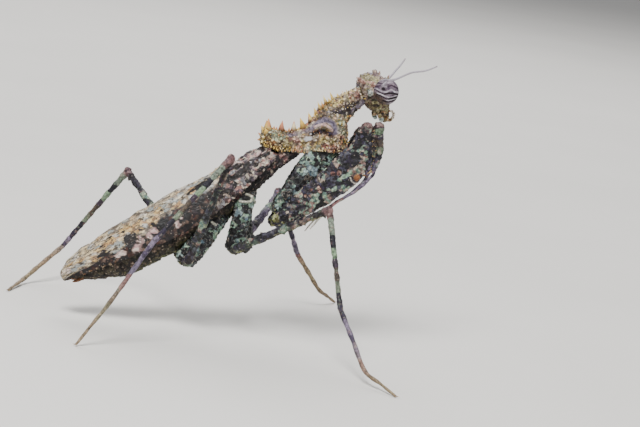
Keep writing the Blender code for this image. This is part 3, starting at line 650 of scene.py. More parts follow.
# Big cones: place along the shield, degrees round it from its left side, length, foot radius, lean back
CONES = [(1.05, 96, 1.25, 0.52, 0.05), (1.15, 60, 1.0, 0.46, 0.05), (0.75, 128, 0.7, 0.36, 0.3),
    (0.75, 48, 0.7, 0.36, 0.3), (2.1, 94, 1.15, 0.4, 0.0), (2.2, 62, 0.9, 0.34, 0.0),
    (2.75, 94, 0.5, 0.22, 0.0), (3.15, 92, 1.15, 0.4, 0.0), (3.9, 92, 1.2, 0.44, 0.3),
    (4.55, 90, 1.0, 0.34, 0.15), (5.1, 90, 0.8, 0.26, 0.2), (5.55, 91, 0.95, 0.24, 0.15),
    (5.8, 100, 0.8, 0.2, 0.1), (6.2, 90, 0.95, 0.25, 0.1), (6.5, 96, 0.6, 0.2, 0.1),
    (6.85, 91, 0.95, 0.23, 0.1), (7.4, 92, 0.5, 0.2, 0.0), (8.0, 92, 0.5, 0.18, 0.0),
    (8.6, 88, 0.42, 0.16, 0.0), (9.2, 92, 0.34, 0.14, 0.0), (0.3, 160, 0.6, 0.26, 0.5),
    (0.3, 20, 0.6, 0.26, 0.5), (0.15, 205, 0.55, 0.26, 0.6), (0.15, 335, 0.55, 0.26, 0.6),
    (1.7, 100, 0.45, 0.22, 0.0), (1.6, 84, 0.4, 0.2, 0.0), (2.45, 104, 0.35, 0.16, 0.0),
    (3.5, 98, 0.4, 0.18, 0.0), (0.5, 96, 0.55, 0.24, 0.4), (4.2, 100, 0.4, 0.18, 0.0),
    (4.9, 96, 0.5, 0.2, 0.1)]


def beside(flat, line, width):
    """How near places are to a line through stations, on two of their coordinates: 1 on it, falling off
    like a bell of that width."""
    line = np.array(line, float)
    start, run = line[:-1], np.diff(line, axis=0)
    away = flat[:, None] - start
    t = held((away * run).sum(-1) / (run ** 2).sum(-1))
    return np.exp(-(np.linalg.norm(away - run * t[..., None], axis=-1).min(1) / width) ** 2)


def shield(t, turn):
    """At stations t along the shield: its oval's middle, side and up, and the places at those turns round
    it, middle + side·c + up·s."""
    low_x, low_z, high_x, high_z, half_width = curve(PRONOTUM, t).T
    c, s = oval(turn[:, None], SHIELD_POWER)
    middle = np.stack((low_x + high_x, 0 * low_x, low_z + high_z), -1) / 2
    up = np.stack((high_x - low_x, 0 * low_x, high_z - low_z), -1) / 2
    side = half_width[:, None] * LEFTWARDS
    return middle, side, up, middle + side * c + up * s


def shield_crust(place):
    """Lichen crust in cream, ochre, sage, lemon and pink grains over dark gaps, with painted shade in the
    pits between the carved grains, and a smooth lilac-grey groove below which the hollow is brown and plum."""
    moss = place.patchwork(0.36, [(226, 212, 184), (192, 174, 144), (236, 226, 206), (156, 136, 112),
        (224, 210, 164), (204, 196, 170), (238, 228, 212), (178, 154, 130), (232, 206, 178),
        (220, 186, 168)])
    colour = place.patched("rear", moss, 0.36, [(160, 150, 122), (194, 180, 150), (112, 96, 74),
        (206, 196, 170), (170, 158, 118), (132, 118, 90), (180, 180, 160), (164, 134, 112)])
    for key, colours in (
            ("lemon", [(222, 208, 148), (202, 186, 124), (232, 222, 178), (168, 150, 106)]),
            ("sage", [(206, 212, 186), (226, 226, 206), (170, 180, 152), (196, 214, 190)]),
            ("orange", [(226, 186, 130), (204, 152, 100), (236, 212, 170), (170, 126, 84)]),
            ("blush", [(206, 160, 148), (176, 118, 108), (222, 194, 180), (146, 92, 84)])):
        colour = place.patched(key, colour, 0.3, colours, 0.85)
    colour = place.grained(colour, 0.38, 0.75, 0.3)
    pale = place.patchwork(0.3, [(196, 190, 180), (160, 152, 154), (214, 206, 190), (140, 128, 134)])
    dark = place.patchwork(0.3, [(52, 42, 38), (80, 70, 64), (64, 54, 62)])
    beads = (1 - place.dots(0.36, 0, 0.3).above(0.26, 0.4)).blend(dark, pale)
    colour = place.weight("neck").blend(colour, beads)
    # painted shade: dark brown in the pits between the carved grains
    colour, grains = place.shade_pits(colour, 0.04, 0.36, 0.6, (44, 34, 28))
    colour = place.speckled(colour, 0.42, (0.14, 0.22), (30, 20, 18), place.weight("speck"), 0.5)
    smooth = place.cloud(0.3, 3.0).above(0.35, 0.65).blend(tint(96, 88, 104), tint(152, 144, 158))
    colour = place.weight("groove").blend(colour, smooth)
    colour = place.weight("line").blend(colour, tint(44, 34, 42))
    arch = place.cloud(0.25, 3.0).above(0.4, 0.6).blend(tint(214, 192, 186), tint(176, 150, 148))
    colour = place.weight("arch").blend(colour, arch)
    hollow = place.patchwork(0.34, [(56, 38, 34), (112, 84, 62), (118, 104, 126), (40, 28, 32),
        (156, 130, 84), (70, 52, 50)])
    colour = place.weight("hollow").blend(colour, place.grained(hollow, 0.3, 0.5, 0.4))
    ashen = place.cloud(0.3).blend(tint(200, 200, 198), tint(172, 168, 172))
    colour = place.weight("ashen").blend(colour, ashen)
    return colour, 0.55 + 0.3 * place.cloud(0.2), place.cloud(0.06, 3.0) + 0.5 * grains


t = np.linspace(0, 11, 160)
centre, side, up, _ = shield(t, 0 * t)
mesh, points, normals = fuse("shield", [loft(centre, side, up, 48, SHIELD_POWER)], voxel=0.065)
side_view = points[:, ::2]
flank = held(1.7 * np.abs(normals[:, 1])) ** 0.6 * (np.abs(points[:, 1]) > 0.6)
groove = beside(side_view, GROOVE, 0.36) * flank
arch = beside(side_view, ARCH, 0.16) * flank
hollow = beside(side_view, HOLLOW, 0.36) * flank * (1 - held(arch * 1.5))
rim = beside(side_view, LOWER_RIM, 0.32) * flank
ashen = marks(side_view, [(-2.95, 21.45, 0.3), (-2.65, 21.55, 0.28), (-2.74, 22.06, 0.1)], 14, 0.2) * flank
underside = marks(side_view, [(2.4, 25.75, 0.5), (2.0, 25.4, 0.4), (1.5, 25.0, 0.3)], 16, 0.2)
below_rim = 26.0 + 0.5 * (points[:, 0] - 1.0) - points[:, 2]
neck = held(1.8 * below_rim + 0.5 * swell(points, 0.5, 22))
neck *= held((points[:, 2] - 24.0) * 2) * (np.abs(points[:, 1]) > 0.35)
grain = pebbles(points, 0.32, 11)
fine = pebbles(points, 0.17, 12)
plain = held(groove * 1.3 + 0.9 * ashen + 0.8 * underside)
crust = (0.17 * (grain - 0.45) + 0.08 * (fine - 0.4) + 0.15 * swell(points, 0.9, 13)
         + 0.08 * swell(points, 0.45, 21))
carved = -0.26 * groove + 0.10 * arch - 0.40 * hollow + 0.34 * rim - 0.03
points = points + normals * ((1 - plain) * crust + carved)[:, None]
patches = {key: marks(side_view, spots, seed, 0.5) * (1 - plain) for key, spots, seed in (
    ("blush", BLUSHES, 15), ("orange", ORANGES, 17), ("lemon", LEMONS, 18), ("sage", SAGES, 19))}
shield_finish = finish("lichen_crust", shield_crust, grit=0.4)
show("shield", mesh, points, shield_finish, "moss", ["pronotum"],
     relief=np.maximum(0.7 * grain + 0.4 * fine, plain),
     rear=held((-3.9 - points[:, 0]) / 0.8 + swell(points, 0.7, 20)), neck=neck * (1 - underside),
     groove=held(groove * 2.2 - 0.7) * (1 - ashen) + underside * 0.9,
     line=held(1 - np.abs(groove - 0.3) * 9) * (1 - ashen) * 0.8, arch=held(arch * 2 - 0.6),
     hollow=held(hollow * 1.8 - 0.3), ashen=ashen, speck=0.1 + 0.6 * neck, **patches)


def thorn_crust(place):
    """Thorns are olive at the foot, then ochre, with a cream tip; the drier ones are pink or lemon."""
    low = place.patchwork(0.5, [(150, 126, 84), (172, 146, 92), (134, 102, 80), (190, 172, 124),
        (110, 84, 60)])
    high = place.patchwork(0.9, [(224, 196, 122), (214, 164, 116), (228, 212, 158), (202, 148, 122),
        (218, 190, 110), (232, 218, 184)])
    colour = place.weight("tip").above(0.05, 0.75).blend(low, high)
    return colour, 0.5 + 0.2 * place.cloud(0.2), place.cloud(0.06)


def thorns(base, way, length, radius, sides=5):
    """Thorns in one mesh: from each base a cone runs its length along its way, radius·(1 - t) wide, with
    three rings of points, a tip and a closed foot."""
    count = len(base)
    way = unit(way)
    side = unit(np.cross(way, (0.31, 0.77, 0.55)))
    up = np.cross(way, side)
    length = np.broadcast_to(length, count)[:, None]
    radius = np.broadcast_to(radius, count)[:, None]
    turn = np.linspace(0, 2 * np.pi, sides, endpoint=False)
    rings = []
    for t in (0.0, 0.3, 0.65):
        round_it = side[:, None] * np.cos(turn)[None, :, None] + up[:, None] * np.sin(turn)[None, :, None]
        rings.append((base + way * length * t)[:, None] + round_it * (radius * (1 - t))[:, None])
    ends = np.stack((base + way * length, base), axis=1)
    points = np.concatenate((*rings, ends), axis=1)
    k = np.arange(sides)
    after = (k + 1) % sides
    tip = np.full(sides, 3 * sides)
    one = np.vstack((*skin(3, sides), np.stack((k + 2 * sides, after + 2 * sides, tip), -1),
                     np.stack((after, k, tip + 1), -1)))
    faces = one[None] + (np.arange(count) * points.shape[1])[:, None, None]
    return points.reshape(-1, 3), faces.reshape(-1, 3)


def scatter(points, spacing, seed=0, keep=1.0):
    """Picks points about a spacing apart: the first one in each occupied cube of space, less a share."""
    cell = np.floor(points / spacing + FAR_CELL + 0.37 * seed)
    _, chosen = np.unique(cell, axis=0, return_index=True)
    return chosen[chance(np.floor(points[chosen] * 50), seed) < keep]


def tips(count, sides=5):
    """The paint weight of each thorn's points: 0 at the foot, 1 at the tip."""
    one = np.concatenate((np.zeros(sides), np.full(sides, 0.3), np.full(sides, 0.8), (1.0, 0.0)))
    return np.tile(one, count)


cones = np.array(CONES)
turn = np.radians(cones[:, 1])
middle, _, _, foot = shield(cones[:, 0], turn)
way = unit(foot - middle) * (1, 0.75, 1) + np.stack((-cones[:, 4], 0 * turn, 0 * turn), -1)
big = thorns(foot - 0.18 * unit(way), way, cones[:, 2] + 0.1, cones[:, 3], 9)
shapes, weights = [big], [tips(len(cones), 9)]
# the fringe along the lower rim: three rows of spikes on each side, pointing out and a little down
for row, (turn, number, length) in enumerate(((204, 26, 0.46), (214, 24, 0.42), (190, 18, 0.34))):
    for angle in (turn, 540 - turn):
        t = np.linspace(0.5, 6.7, number) + 0.05 * np.sin(7.0 * np.arange(number) + row)
        middle, _, _, foot = shield(t, np.full(number, math.radians(angle)))
        way = unit(foot - middle) + (0, 0, -0.35) + 0.35 * np.stack(
            [np.sin(np.arange(number) * k + row) for k in (2.3, 3.1, 4.7)], -1)
        long = length * (0.65 + 0.35 * np.sin(5.3 * np.arange(number) + row))
        shapes.append(thorns(foot + 0.12 * unit(foot - middle), way, long, 0.1, 5))
        weights.append(tips(number))
chosen = scatter(points, 0.42, 3, 0.6)
chosen = chosen[plain[chosen] < 0.4]
crest = held(0.3 * normals[chosen, 2] + 0.8 * held(normals[chosen, 0]) + 0.8 * rim[chosen])
luck = chance(np.floor(points[chosen] * 40), 5)
size = 0.03 + 0.1 * luck ** 2 + 0.3 * crest * luck ** 2
stray = np.stack([chance(np.floor(points[chosen] * 30), k) for k in (6, 7, 8)], -1)
way = normals[chosen] + (0, 0, 0.35) + 0.6 * (stray - 0.5)
shapes.append(thorns(points[chosen] - 0.04 * normals[chosen], way, size + 0.07, 0.06 + 0.18 * size))
weights.append(tips(len(chosen)))
thorn_points, thorn_faces = joined(shapes)
thorn_finish = finish("thorn_crust", thorn_crust)
show("shield_thorns", blank("thorns", thorn_points, thorn_faces), thorn_points, thorn_finish, "moss",
     tip=np.concatenate(weights))


# ----------------------------------------------------------------------
# Head. A wedge hung from the neck, broad between the eyes and narrow at the mouth, turned a little to the
# left and raised. Its plates are finely grained, with blunt knobs over the crown and behind the eyes.

HEAD_CENTRE = np.array((3.88, -0.07, 27.4))
HEAD_TURN, HEAD_LIFT = math.radians(15), math.radians(20)
FACE = np.array((math.cos(HEAD_LIFT) * math.cos(HEAD_TURN), math.cos(HEAD_LIFT) * math.sin(HEAD_TURN),
                 math.sin(HEAD_LIFT)))
CHEEK = np.array((-math.sin(HEAD_TURN), math.cos(HEAD_TURN), 0.0))
CROWN = np.cross(FACE, CHEEK)
HEAD_POWER = 2.3                        # how square its ovals are
EYE_FORE, EYE_OUT = 0.05, 2.0           # the middle of an eye, along the face and outwards
EYE_RADII = (1.35, 1.15, 1.35)          # along the face, outwards, upwards
# height towards the crown, half width, front, back
HEAD = [(-2.50, 0.80, 0.85, -0.65), (-1.90, 1.05, 1.00, -1.20), (-1.20, 1.30, 1.12, -1.62),
    (-0.60, 1.60, 1.18, -1.62), (0.00, 1.80, 1.18, -1.60), (0.60, 1.75, 1.08, -1.65),
    (1.05, 1.45, 0.85, -1.55), (1.42, 0.85, 0.40, -1.10)]
MOUTH = [(-3.70, 0.27, 0.62, 0.05), (-3.30, 0.55, 0.78, -0.15), (-2.62, 0.78, 0.86, -0.28),
    (-2.20, 0.70, 0.80, -0.25)]
# Knobs: forward, left and up of the foot, then of the tip, and the foot's radius
KNOBS = [(-1.4, -0.35, 1.0, -2.0, -0.4, 1.72, 0.3), (-1.3, 0.55, 1.0, -1.8, 0.6, 1.6, 0.3),
    (-1.0, 0.35, 1.3, -1.05, 0.5, 1.88, 0.16), (-0.7, -0.6, 1.2, -0.75, -0.65, 1.7, 0.17),
    (-0.95, -0.95, 0.75, -1.15, -1.3, 1.1, 0.3), (-0.95, 0.95, 0.75, -1.15, 1.3, 1.1, 0.3),
    (0.8, -0.95, 0.85, 1.2, -1.1, 1.45, 0.2), (0.5, -1.0, 0.95, 0.7, -1.1, 1.3, 0.16),
    (0.8, 0.95, 0.85, 1.2, 1.1, 1.45, 0.2), (-1.4, -1.2, 0.1, -1.6, -1.45, 0.2, 0.32),
    (-1.4, 1.2, 0.1, -1.6, 1.45, 0.2, 0.32), (-0.35, 0.5, 1.35, -0.35, 0.6, 1.7, 0.14),
    (-1.5, -0.8, 0.6, -1.85, -0.95, 0.75, 0.24), (-0.5, -0.8, 1.15, -0.5, -0.9, 1.35, 0.22),
    (-1.15, 0.8, 0.75, -1.5, 1.45, 1.0, 0.36), (-0.85, 0.75, 0.95, -0.98, 1.3, 1.5, 0.34),
    (-0.25, 0.75, 1.05, -0.25, 1.15, 1.62, 0.3), (-0.6, 0.7, 1.05, -0.62, 1.0, 1.62, 0.26)]
# Patches of colour: forward and up, then size
HEAD_PINKS = [(-1.9, 1.5, 0.32), (-1.1, 0.95, 0.3), (1.15, 1.4, 0.3), (-1.6, 1.1, 0.2)]
HEAD_PALES = [(-1.55, 0.2, 0.32), (-1.6, -0.1, 0.2)]
# The dark patches are partly dark marks and partly painted shadow in the gap between head and neck
HEAD_DARKS_AND_SHADOW = [(-1.5, -0.45, 0.28), (-1.25, -0.75, 0.2), (-0.9, -0.6, 0.2), (-0.6, -1.5, 0.18),
    (0.3, -1.4, 0.15), (-1.0, 0.62, 0.16)]
HEAD_GREENS = [(-1.0, 1.35, 0.5), (-0.6, 1.45, 0.35), (-1.0, -1.0, 0.45), (-0.5, -1.9, 0.5),
    (0.2, -2.2, 0.4)]


def on_head(forward, left, up):
    """Places on the head, from how far they lie along the face, to its left and towards the crown."""
    forward, left, up = (np.asarray(value, float)[..., None] for value in (forward, left, up))
    return HEAD_CENTRE + FACE * forward + CHEEK * left + CROWN * up


def head_frame(points):
    """How far places lie along the face, to its left and towards the crown."""
    away = points - HEAD_CENTRE
    return away @ FACE, away @ CHEEK, away @ CROWN


def stack(rows, count=60, ring=48):
    """Squarish ovals piled from the lowest of the rows to the highest."""
    up = np.linspace(rows[0][0], rows[-1][0], count)
    half_width, front, back = curve(rows, up).T
    return loft(on_head((front + back) / 2, 0 * up, up), CHEEK * half_width[:, None],
                FACE * ((front - back) / 2)[:, None], ring, HEAD_POWER)


def head_plates(place):
    """Pinkish grey grained plates, lemon green over crown and cheeks, with dark lines in the folds: painted
    shade in the pits between the carved grains.
    """
    crown = place.patchwork(0.26, [(200, 186, 174), (166, 150, 142), (218, 206, 194), (182, 162, 154),
        (136, 120, 116), (204, 192, 164), (174, 158, 160), (216, 198, 184)])
    colour = place.patched("cheek", crown, 0.26, [(136, 120, 96), (96, 82, 60), (172, 160, 128),
        (146, 122, 106), (70, 58, 42), (194, 184, 158), (126, 100, 78), (158, 148, 108)])
    # dark: dark marks, and painted shadow in the gap between head and neck
    for key, colours in (
            ("green", [(186, 180, 146), (208, 202, 172), (146, 138, 108), (172, 166, 126)]),
            ("pink", [(216, 188, 176), (200, 162, 150), (224, 206, 194), (184, 148, 138)]),
            ("dark", [(40, 32, 26), (66, 52, 40)]),
            ("ashen", [(196, 206, 200), (176, 188, 184), (214, 214, 204)])):
        colour = place.patched(key, colour, 0.24, colours, 0.9)
    colour = place.grained(colour, 0.22, 0.35, 0.25)
    # painted shade: dark in the folds and pits between the carved grains
    colour, grains = place.shade_pits(colour, 0.02, 0.4, 0.5, (54, 42, 40))
    return colour, 0.5 + 0.25 * place.cloud(0.15), place.cloud(0.05, 3.0) + 0.6 * grains


horn = loft(*tube([on_head(0.05, 0.1, 0.9), on_head(0.1, 0.15, 1.5), on_head(0.1, 0.15, 1.98)],
                  [0.4, 0.31, 0.27], 30))
knobs = np.array(KNOBS)
knob_foot, knob_tip = on_head(*knobs[:, :3].T), on_head(*knobs[:, 3:6].T)
shapes = [stack(HEAD), horn]
for foot, tip, radius in zip(knob_foot, knob_tip, knobs[:, 6]):
    path = [1.5 * foot - 0.5 * tip, 0.5 * (foot + tip), tip]
    shapes.append(loft(*tube(path, radius * np.array((1, 0.8, 0.4)), 14)))
mesh, points, normals = fuse("head", shapes, voxel=0.045, ease=3)
forward, left, up = head_frame(points)
# height over the eyeballs' skin, in eye radii: the plates rise to a rim round each eye
from_eye = np.stack((forward - EYE_FORE, np.abs(left) - EYE_OUT, up), -1) / EYE_RADII
clear = np.linalg.norm(from_eye, axis=1) - 1
grain = pebbles(points, 0.24, 31)
on_horn = held((up - 1.5) * 3) * (np.hypot(forward - 0.1, left - 0.15) < 0.5)
points = points + normals * ((1 - 0.6 * on_horn) * (0.13 * (grain - 0.4) + 0.08 * swell(points, 0.5, 33))
                             + 0.07 * np.exp(-(clear / 0.09) ** 2) - 0.02)[:, None]
face_view = np.stack((forward, up), -1)
# the dark patches hold painted shadow in the gap between head and neck as well as dark marks
patches = {key: marks(face_view, spots, seed, 0.5) * share for key, spots, seed, share in (
    ("pink", HEAD_PINKS, 34, 1.0), ("ashen", HEAD_PALES, 35, (np.abs(left) > 0.9) * 1.0),
    ("dark", HEAD_DARKS_AND_SHADOW, 36, (np.abs(left) > 0.6) * 1.0), ("green", HEAD_GREENS, 37, 1.0))}
show("head_plates", mesh, points, finish("head_plates", head_plates, grit=0.3), "head_plate", ["head"],
     relief=np.maximum(grain, on_horn), cheek=held(-(up + 0.45) * 2 + 0.6 * swell(points, 0.4, 38)),
     **patches)


# ----------------------------------------------------------------------
# Eyes. Two big smooth domes of many facets, banded like polished stone; a dark point or two seems to look
# out of each: a painted pseudopupil, the dark spot the facets facing the viewer show, which in life moves
# with the view.

EYE_TIP = 0.283794                      # how far an eye is tipped back, in radians
# The painted pseudopupil: a dark spot that the real eye shows only where its facets face the viewer
PSEUDOPUPIL = (-0.60, 0.31)                   # where the dark point sits, as on the stripes
# Stripes on an eye: places along it (-1 behind to 1 in front) and up it (-1 to 1), and the width
DARK_STRIPES = [
    ([(-1.0, 0.13), (-0.88, 0.05), (-0.68, -0.05), (-0.22, -0.01), (0.1, 0.03), (0.9, -0.1)], 0.05),
    ([(-0.5, -0.03), (-0.1, 0.02), (0.2, 0.0), (0.9, -0.14)], 0.1),
    ([(-0.95, -0.17), (-0.62, -0.29), (-0.3, -0.43), (0.0, -0.38), (0.35, -0.29), (0.9, -0.32)], 0.055),
    ([(-0.1, -0.42), (0.2, -0.36), (0.6, -0.34)], 0.11),
    ([(-0.5, -0.6), (-0.05, -0.7), (0.3, -0.6), (0.7, -0.5)], 0.08)]
PLUM_STRIPES = [
    ([(-0.25, 0.5), (0.0, 0.62), (0.3, 0.5), (0.7, 0.38)], 0.09),
    ([(-0.45, 0.58), (-0.2, 0.66)], 0.06),
    ([(-0.9, 0.55), (-0.7, 0.68), (-0.45, 0.72)], 0.05),
    ([(-0.95, 0.38), (-0.75, 0.5)], 0.04),
    ([(0.1, -0.15), (0.5, -0.22), (0.9, -0.2)], 0.06)]
PEARL_STRIPES = [
    ([(-0.95, 0.23), (-0.72, 0.15), (-0.33, 0.13), (-0.04, 0.29), (0.12, 0.24), (0.35, 0.12), (0.8, 0.1)],
     0.07),
    ([(-0.95, -0.07), (-0.75, -0.12), (-0.45, -0.21), (-0.1, -0.31), (0.15, -0.25), (0.7, -0.14)], 0.045),
    ([(-0.25, -0.56), (0.2, -0.47), (0.6, -0.42)], 0.04),
    ([(-0.55, 0.66), (-0.3, 0.82), (0.2, 0.8)], 0.04)]


def eye_bands(place):
    """Lilac-grey stone with wavy stripes of near-black plum, plum and pearl, brown below at the back, and a
    painted pseudopupil in the near-black.
    """
    ground = place.cloud(0.5, 3.0).above(0.3, 0.7).blend(tint(98, 86, 100), tint(158, 146, 154))
    veil = place.cloud(0.16, 2.0).above(0.5, 0.62)
    colour = (veil * 0.6).blend(ground, tint(84, 62, 88))
    brown = place.cloud(0.2, 3.0).above(0.4, 0.6).blend(tint(116, 98, 88), tint(72, 58, 50))
    colour = place.weight("brown").blend(colour, brown)
    colour = place.weight("plum").blend(colour, tint(66, 36, 62))
    pearl = place.cloud(0.4, 2.0).above(0.35, 0.65).blend(tint(222, 220, 224), tint(180, 172, 180))
    colour = (place.weight("pearl") * 0.9).blend(colour, pearl)
    colour = place.weight("dark").blend(colour, place.cloud(0.4).blend(tint(26, 14, 22), tint(58, 28, 50)))
    facets = place.node("ShaderNodeTexVoronoi", {"Vector": place, "Scale": 18.0})
    return colour, 0.42 + 0.1 * place.cloud(0.5) + 0.4 * place.weight("dark"), 0.35 * facets


def striped(flat, stripes):
    """How far places lie on any of the stripes, from 0 to 1, with crisp edges."""
    near = [beside(flat, line, width) for line, width in stripes]
    return held(2.6 * np.max(near, axis=0) - 1.0)


eye_finish = finish("eye_bands", eye_bands, relief=0.006)
for side, sign in SIDES.items():
    slope = np.linspace(-89.6, 89.6, 130) * np.pi / 180
    along, out, rise = EYE_RADII
    centre = on_head(EYE_FORE, sign * EYE_OUT + out * np.sin(slope), 0)
    open_by = np.cos(slope)[:, None]
    points, faces = loft(centre, along * open_by * FACE, rise * open_by * CROWN, 180)
    forward, left, up = head_frame(points)
    level = (math.cos(EYE_TIP) * up + math.sin(EYE_TIP) * (forward - EYE_FORE)) / rise
    fore = (math.cos(EYE_TIP) * (forward - EYE_FORE) - math.sin(EYE_TIP) * up) / along
    wobble = np.stack((swell(points, 0.5, 39), swell(points, 0.4, 40)), -1)
    flat = np.stack((fore, level), -1) + 0.035 * wobble
    # painted pseudopupil and its plum halo, a view-dependent dark spot fixed into the colour
    away = np.hypot(fore - PSEUDOPUPIL[0], level - PSEUDOPUPIL[1])
    painted_pupil = held(2.7 - 18 * away)
    pupil_halo = held(1.6 - 6 * away)
    show("eye_dome_" + side, blank("eye", points, faces), points, eye_finish, "eye_striped",
         ["eye_" + side],
         dark=np.maximum(striped(flat, DARK_STRIPES), painted_pupil),
         plum=np.maximum(0.9 * striped(flat, PLUM_STRIPES), 0.6 * pupil_halo),
         pearl=striped(flat, PEARL_STRIPES) * (1 - held(1.3 * pupil_halo)) * np.clip(1 - level, 0.45, 1),
         brown=held(-3.5 * (level + 0.42 + 0.8 * (fore + 0.35))))


# ----------------------------------------------------------------------
# Mouthparts. A horny lip over the jaws at the lower end of the head, then two pairs of jointed palps
# curled forward, ringed in cream. All of it is one hide, with lines carved between lip and jaws.

def mouth_hide(place):
    """Orange brown and olive jaws with cream edges; the palps are cream beads with dark necks."""
    colour = place.patchwork(0.24, [(170, 126, 88), (128, 100, 66), (200, 186, 154), (100, 82, 56),
        (206, 180, 152), (70, 52, 42), (160, 150, 108), (140, 134, 84)])
    bead = place.weight("bead").above(0.0, 0.4).blend(tint(140, 112, 94), tint(234, 226, 212))
    colour = place.weight("palp").blend(colour, bead)
    colour = place.weight("ashen").blend(colour, tint(190, 204, 202))
    # painted shade: dark in the carved lines between lip and jaws and in the pits between grains
    colour, _ = place.shade_pits(colour, 0.0, 0.35, 0.75, (36, 26, 22))
    return colour, 0.45 + 0.2 * place.cloud(0.2), place.cloud(0.05)


# Two palps and the outer lobe of the jaws: forward, outwards and up of each place and its radius; then
# the number of stations, the swell of the beads and their number
PALPS = [
    ([(0.17, 0.5, -3.0, 0.17), (0.4, 0.62, -3.4, 0.19), (0.75, 0.64, -3.46, 0.17), (1.12, 0.64, -3.1, 0.16),
      (1.02, 0.62, -2.65, 0.14), (0.68, 0.6, -2.5, 0.11)], 60, 0.14, 5),
    ([(0.1, 0.5, -2.85, 0.14), (0.25, 0.62, -3.3, 0.13), (0.5, 0.55, -3.55, 0.08)], 30, 0.12, 3),
    ([(-0.25, 0.6, -2.3, 0.4), (-0.4, 0.72, -2.9, 0.32), (-0.35, 0.66, -3.35, 0.16)], 24, 0.0, 1)]
palps = []
for sign in (-1, 1):
    for rows, count, bead, beads in PALPS:
        forward, out, up, radii = np.transpose(rows)
        palps.append(loft(*tube(on_head(forward, sign * out, up), radii, count, bead, beads)))
mesh, points, normals = fuse("mouthparts", [stack(MOUTH, 30, 32), *palps], voxel=0.035, ease=2)
forward, left, up = head_frame(points)
grain = pebbles(points, 0.22, 41)
round_ring = np.arctan2(up + 3.0, forward - 0.8)
jaw_line = (np.exp(-(left / 0.05) ** 2) * (forward > 0.1)
            + np.exp(-((up + 3.0) / 0.06) ** 2) * (np.abs(left) < 0.75))
on_palp = held((forward - 0.68) * 6)
points = points + normals * (
    (0.08 - 0.06 * on_palp) * (grain - 0.4) - 0.08 * jaw_line * (1 - on_palp) - 0.01)[:, None]
# relief is low in the carved jaw lines and between grains, where the finish paints shade
show("mouthparts_jointed", mesh, points, finish("mouth_hide", mouth_hide), "mouth", ["mouthparts"],
     palp=on_palp, relief=np.maximum(grain * (1 - held(jaw_line)), on_palp),
     bead=0.5 + 0.5 * np.cos(9 * round_ring), ashen=held(2 - 5 * np.hypot(forward + 0.5, up + 3.2)))


# ----------------------------------------------------------------------
# Antennae. A stout first joint fixed to the face between the eyes, then a thread of close to fifty short
# joints of thin horn. Each is one tapering tube, beaded and darker at its joints.

ANTENNAE = {
    "right": [(4.75, -0.02, 28.2), (5.15, -0.20, 28.40), (5.75, -0.50, 28.75), (7.10, -0.80, 29.60),
              (8.50, -0.9, 30.00), (9.70, -0.80, 30.60)],
    "left": [(4.6, 0.25, 28.25), (5.00, 0.62, 28.45), (5.60, 1.60, 28.75), (6.30, 2.90, 29.20),
             (7.00, 4.0, 29.70), (7.55, 4.60, 30.40)],
}
FEELER_JOINTS = 46


def feeler_hide(place):
    """Pale lilac grey with a darker ring at every joint."""
    colour = place.cloud(0.6).blend(tint(206, 204, 214), tint(170, 160, 160))
    colour = place.weight("joint").blend(colour, tint(104, 92, 96))
    return colour, 0.45 + 0.1 * place.cloud(0.3), place.cloud(0.05)


feeler_finish = finish("feeler_grey", feeler_hide)
for side, path in ANTENNAE.items():
    radii = [0.19, 0.17, 0.115, 0.105, 0.095, 0.075]
    points, faces, share = thread(path, radii, 420, 10, 0.07, FEELER_JOINTS)
    show("antenna_thread_" + side, blank("antenna", points, faces), points, feeler_finish, "feeler",
         ["antenna_" + side], joint=0.7 * np.cos(share * np.pi * FEELER_JOINTS) ** 6)


# ----------------------------------------------------------------------
# Forelegs. The grasping legs: a broad hanging coxa like a mossy stone, then femur, tibia and foot in one
# hide, folded shut beside it, with pale spines along the catching edge and a hooked tibia.

FORE_COXA_Y, FORE_FEMUR_Y = 1.6, 3.0
LEFT_SHIFT = (0.9, -1.3)
LIMB_POWER = 2.3                        # how square the ovals of the broad limbs are
FEMUR_SPINES, TIBIA_SPINES = 13, 12
# x, z, half thickness, half depth
FORE_COXA = [(-0.3, 20.9, 0.65, 1.75), (-1.2, 19.5, 0.65, 1.7), (-2.3, 18.0, 0.65, 1.4),
    (-3.5, 16.0, 0.65, 1.1), (-4.45, 14.1, 0.62, 0.95), (-4.9, 13.2, 0.45, 0.75)]
FORE_FEMUR = [(-5.0, 12.7, 0.35, 0.5), (-4.2, 13.55, 0.5, 0.9), (-2.5, 15.1, 0.6, 1.35),
    (-0.5, 16.9, 0.6, 1.6), (1.3, 18.9, 0.6, 1.75), (2.4, 20.8, 0.6, 1.5), (2.6, 22.4, 0.58, 0.93),
    (2.75, 23.6, 0.52, 0.6), (2.85, 24.1, 0.35, 0.35)]
FORE_TIBIA = [(3.85, 24.3, 0.35, 0.3), (4.05, 23.8, 0.5, 0.52), (4.35, 22.4, 0.5, 0.47),
    (4.48, 21.0, 0.45, 0.33), (4.3, 19.9, 0.4, 0.31), (4.1, 19.0, 0.3, 0.28)]
FORE_FOOT = [(4.3, 19.4), (4.1, 18.7), (2.75, 17.0), (1.3, 15.85), (0.1, 14.75), (-0.75, 13.6),
    (-1.55, 12.35)]
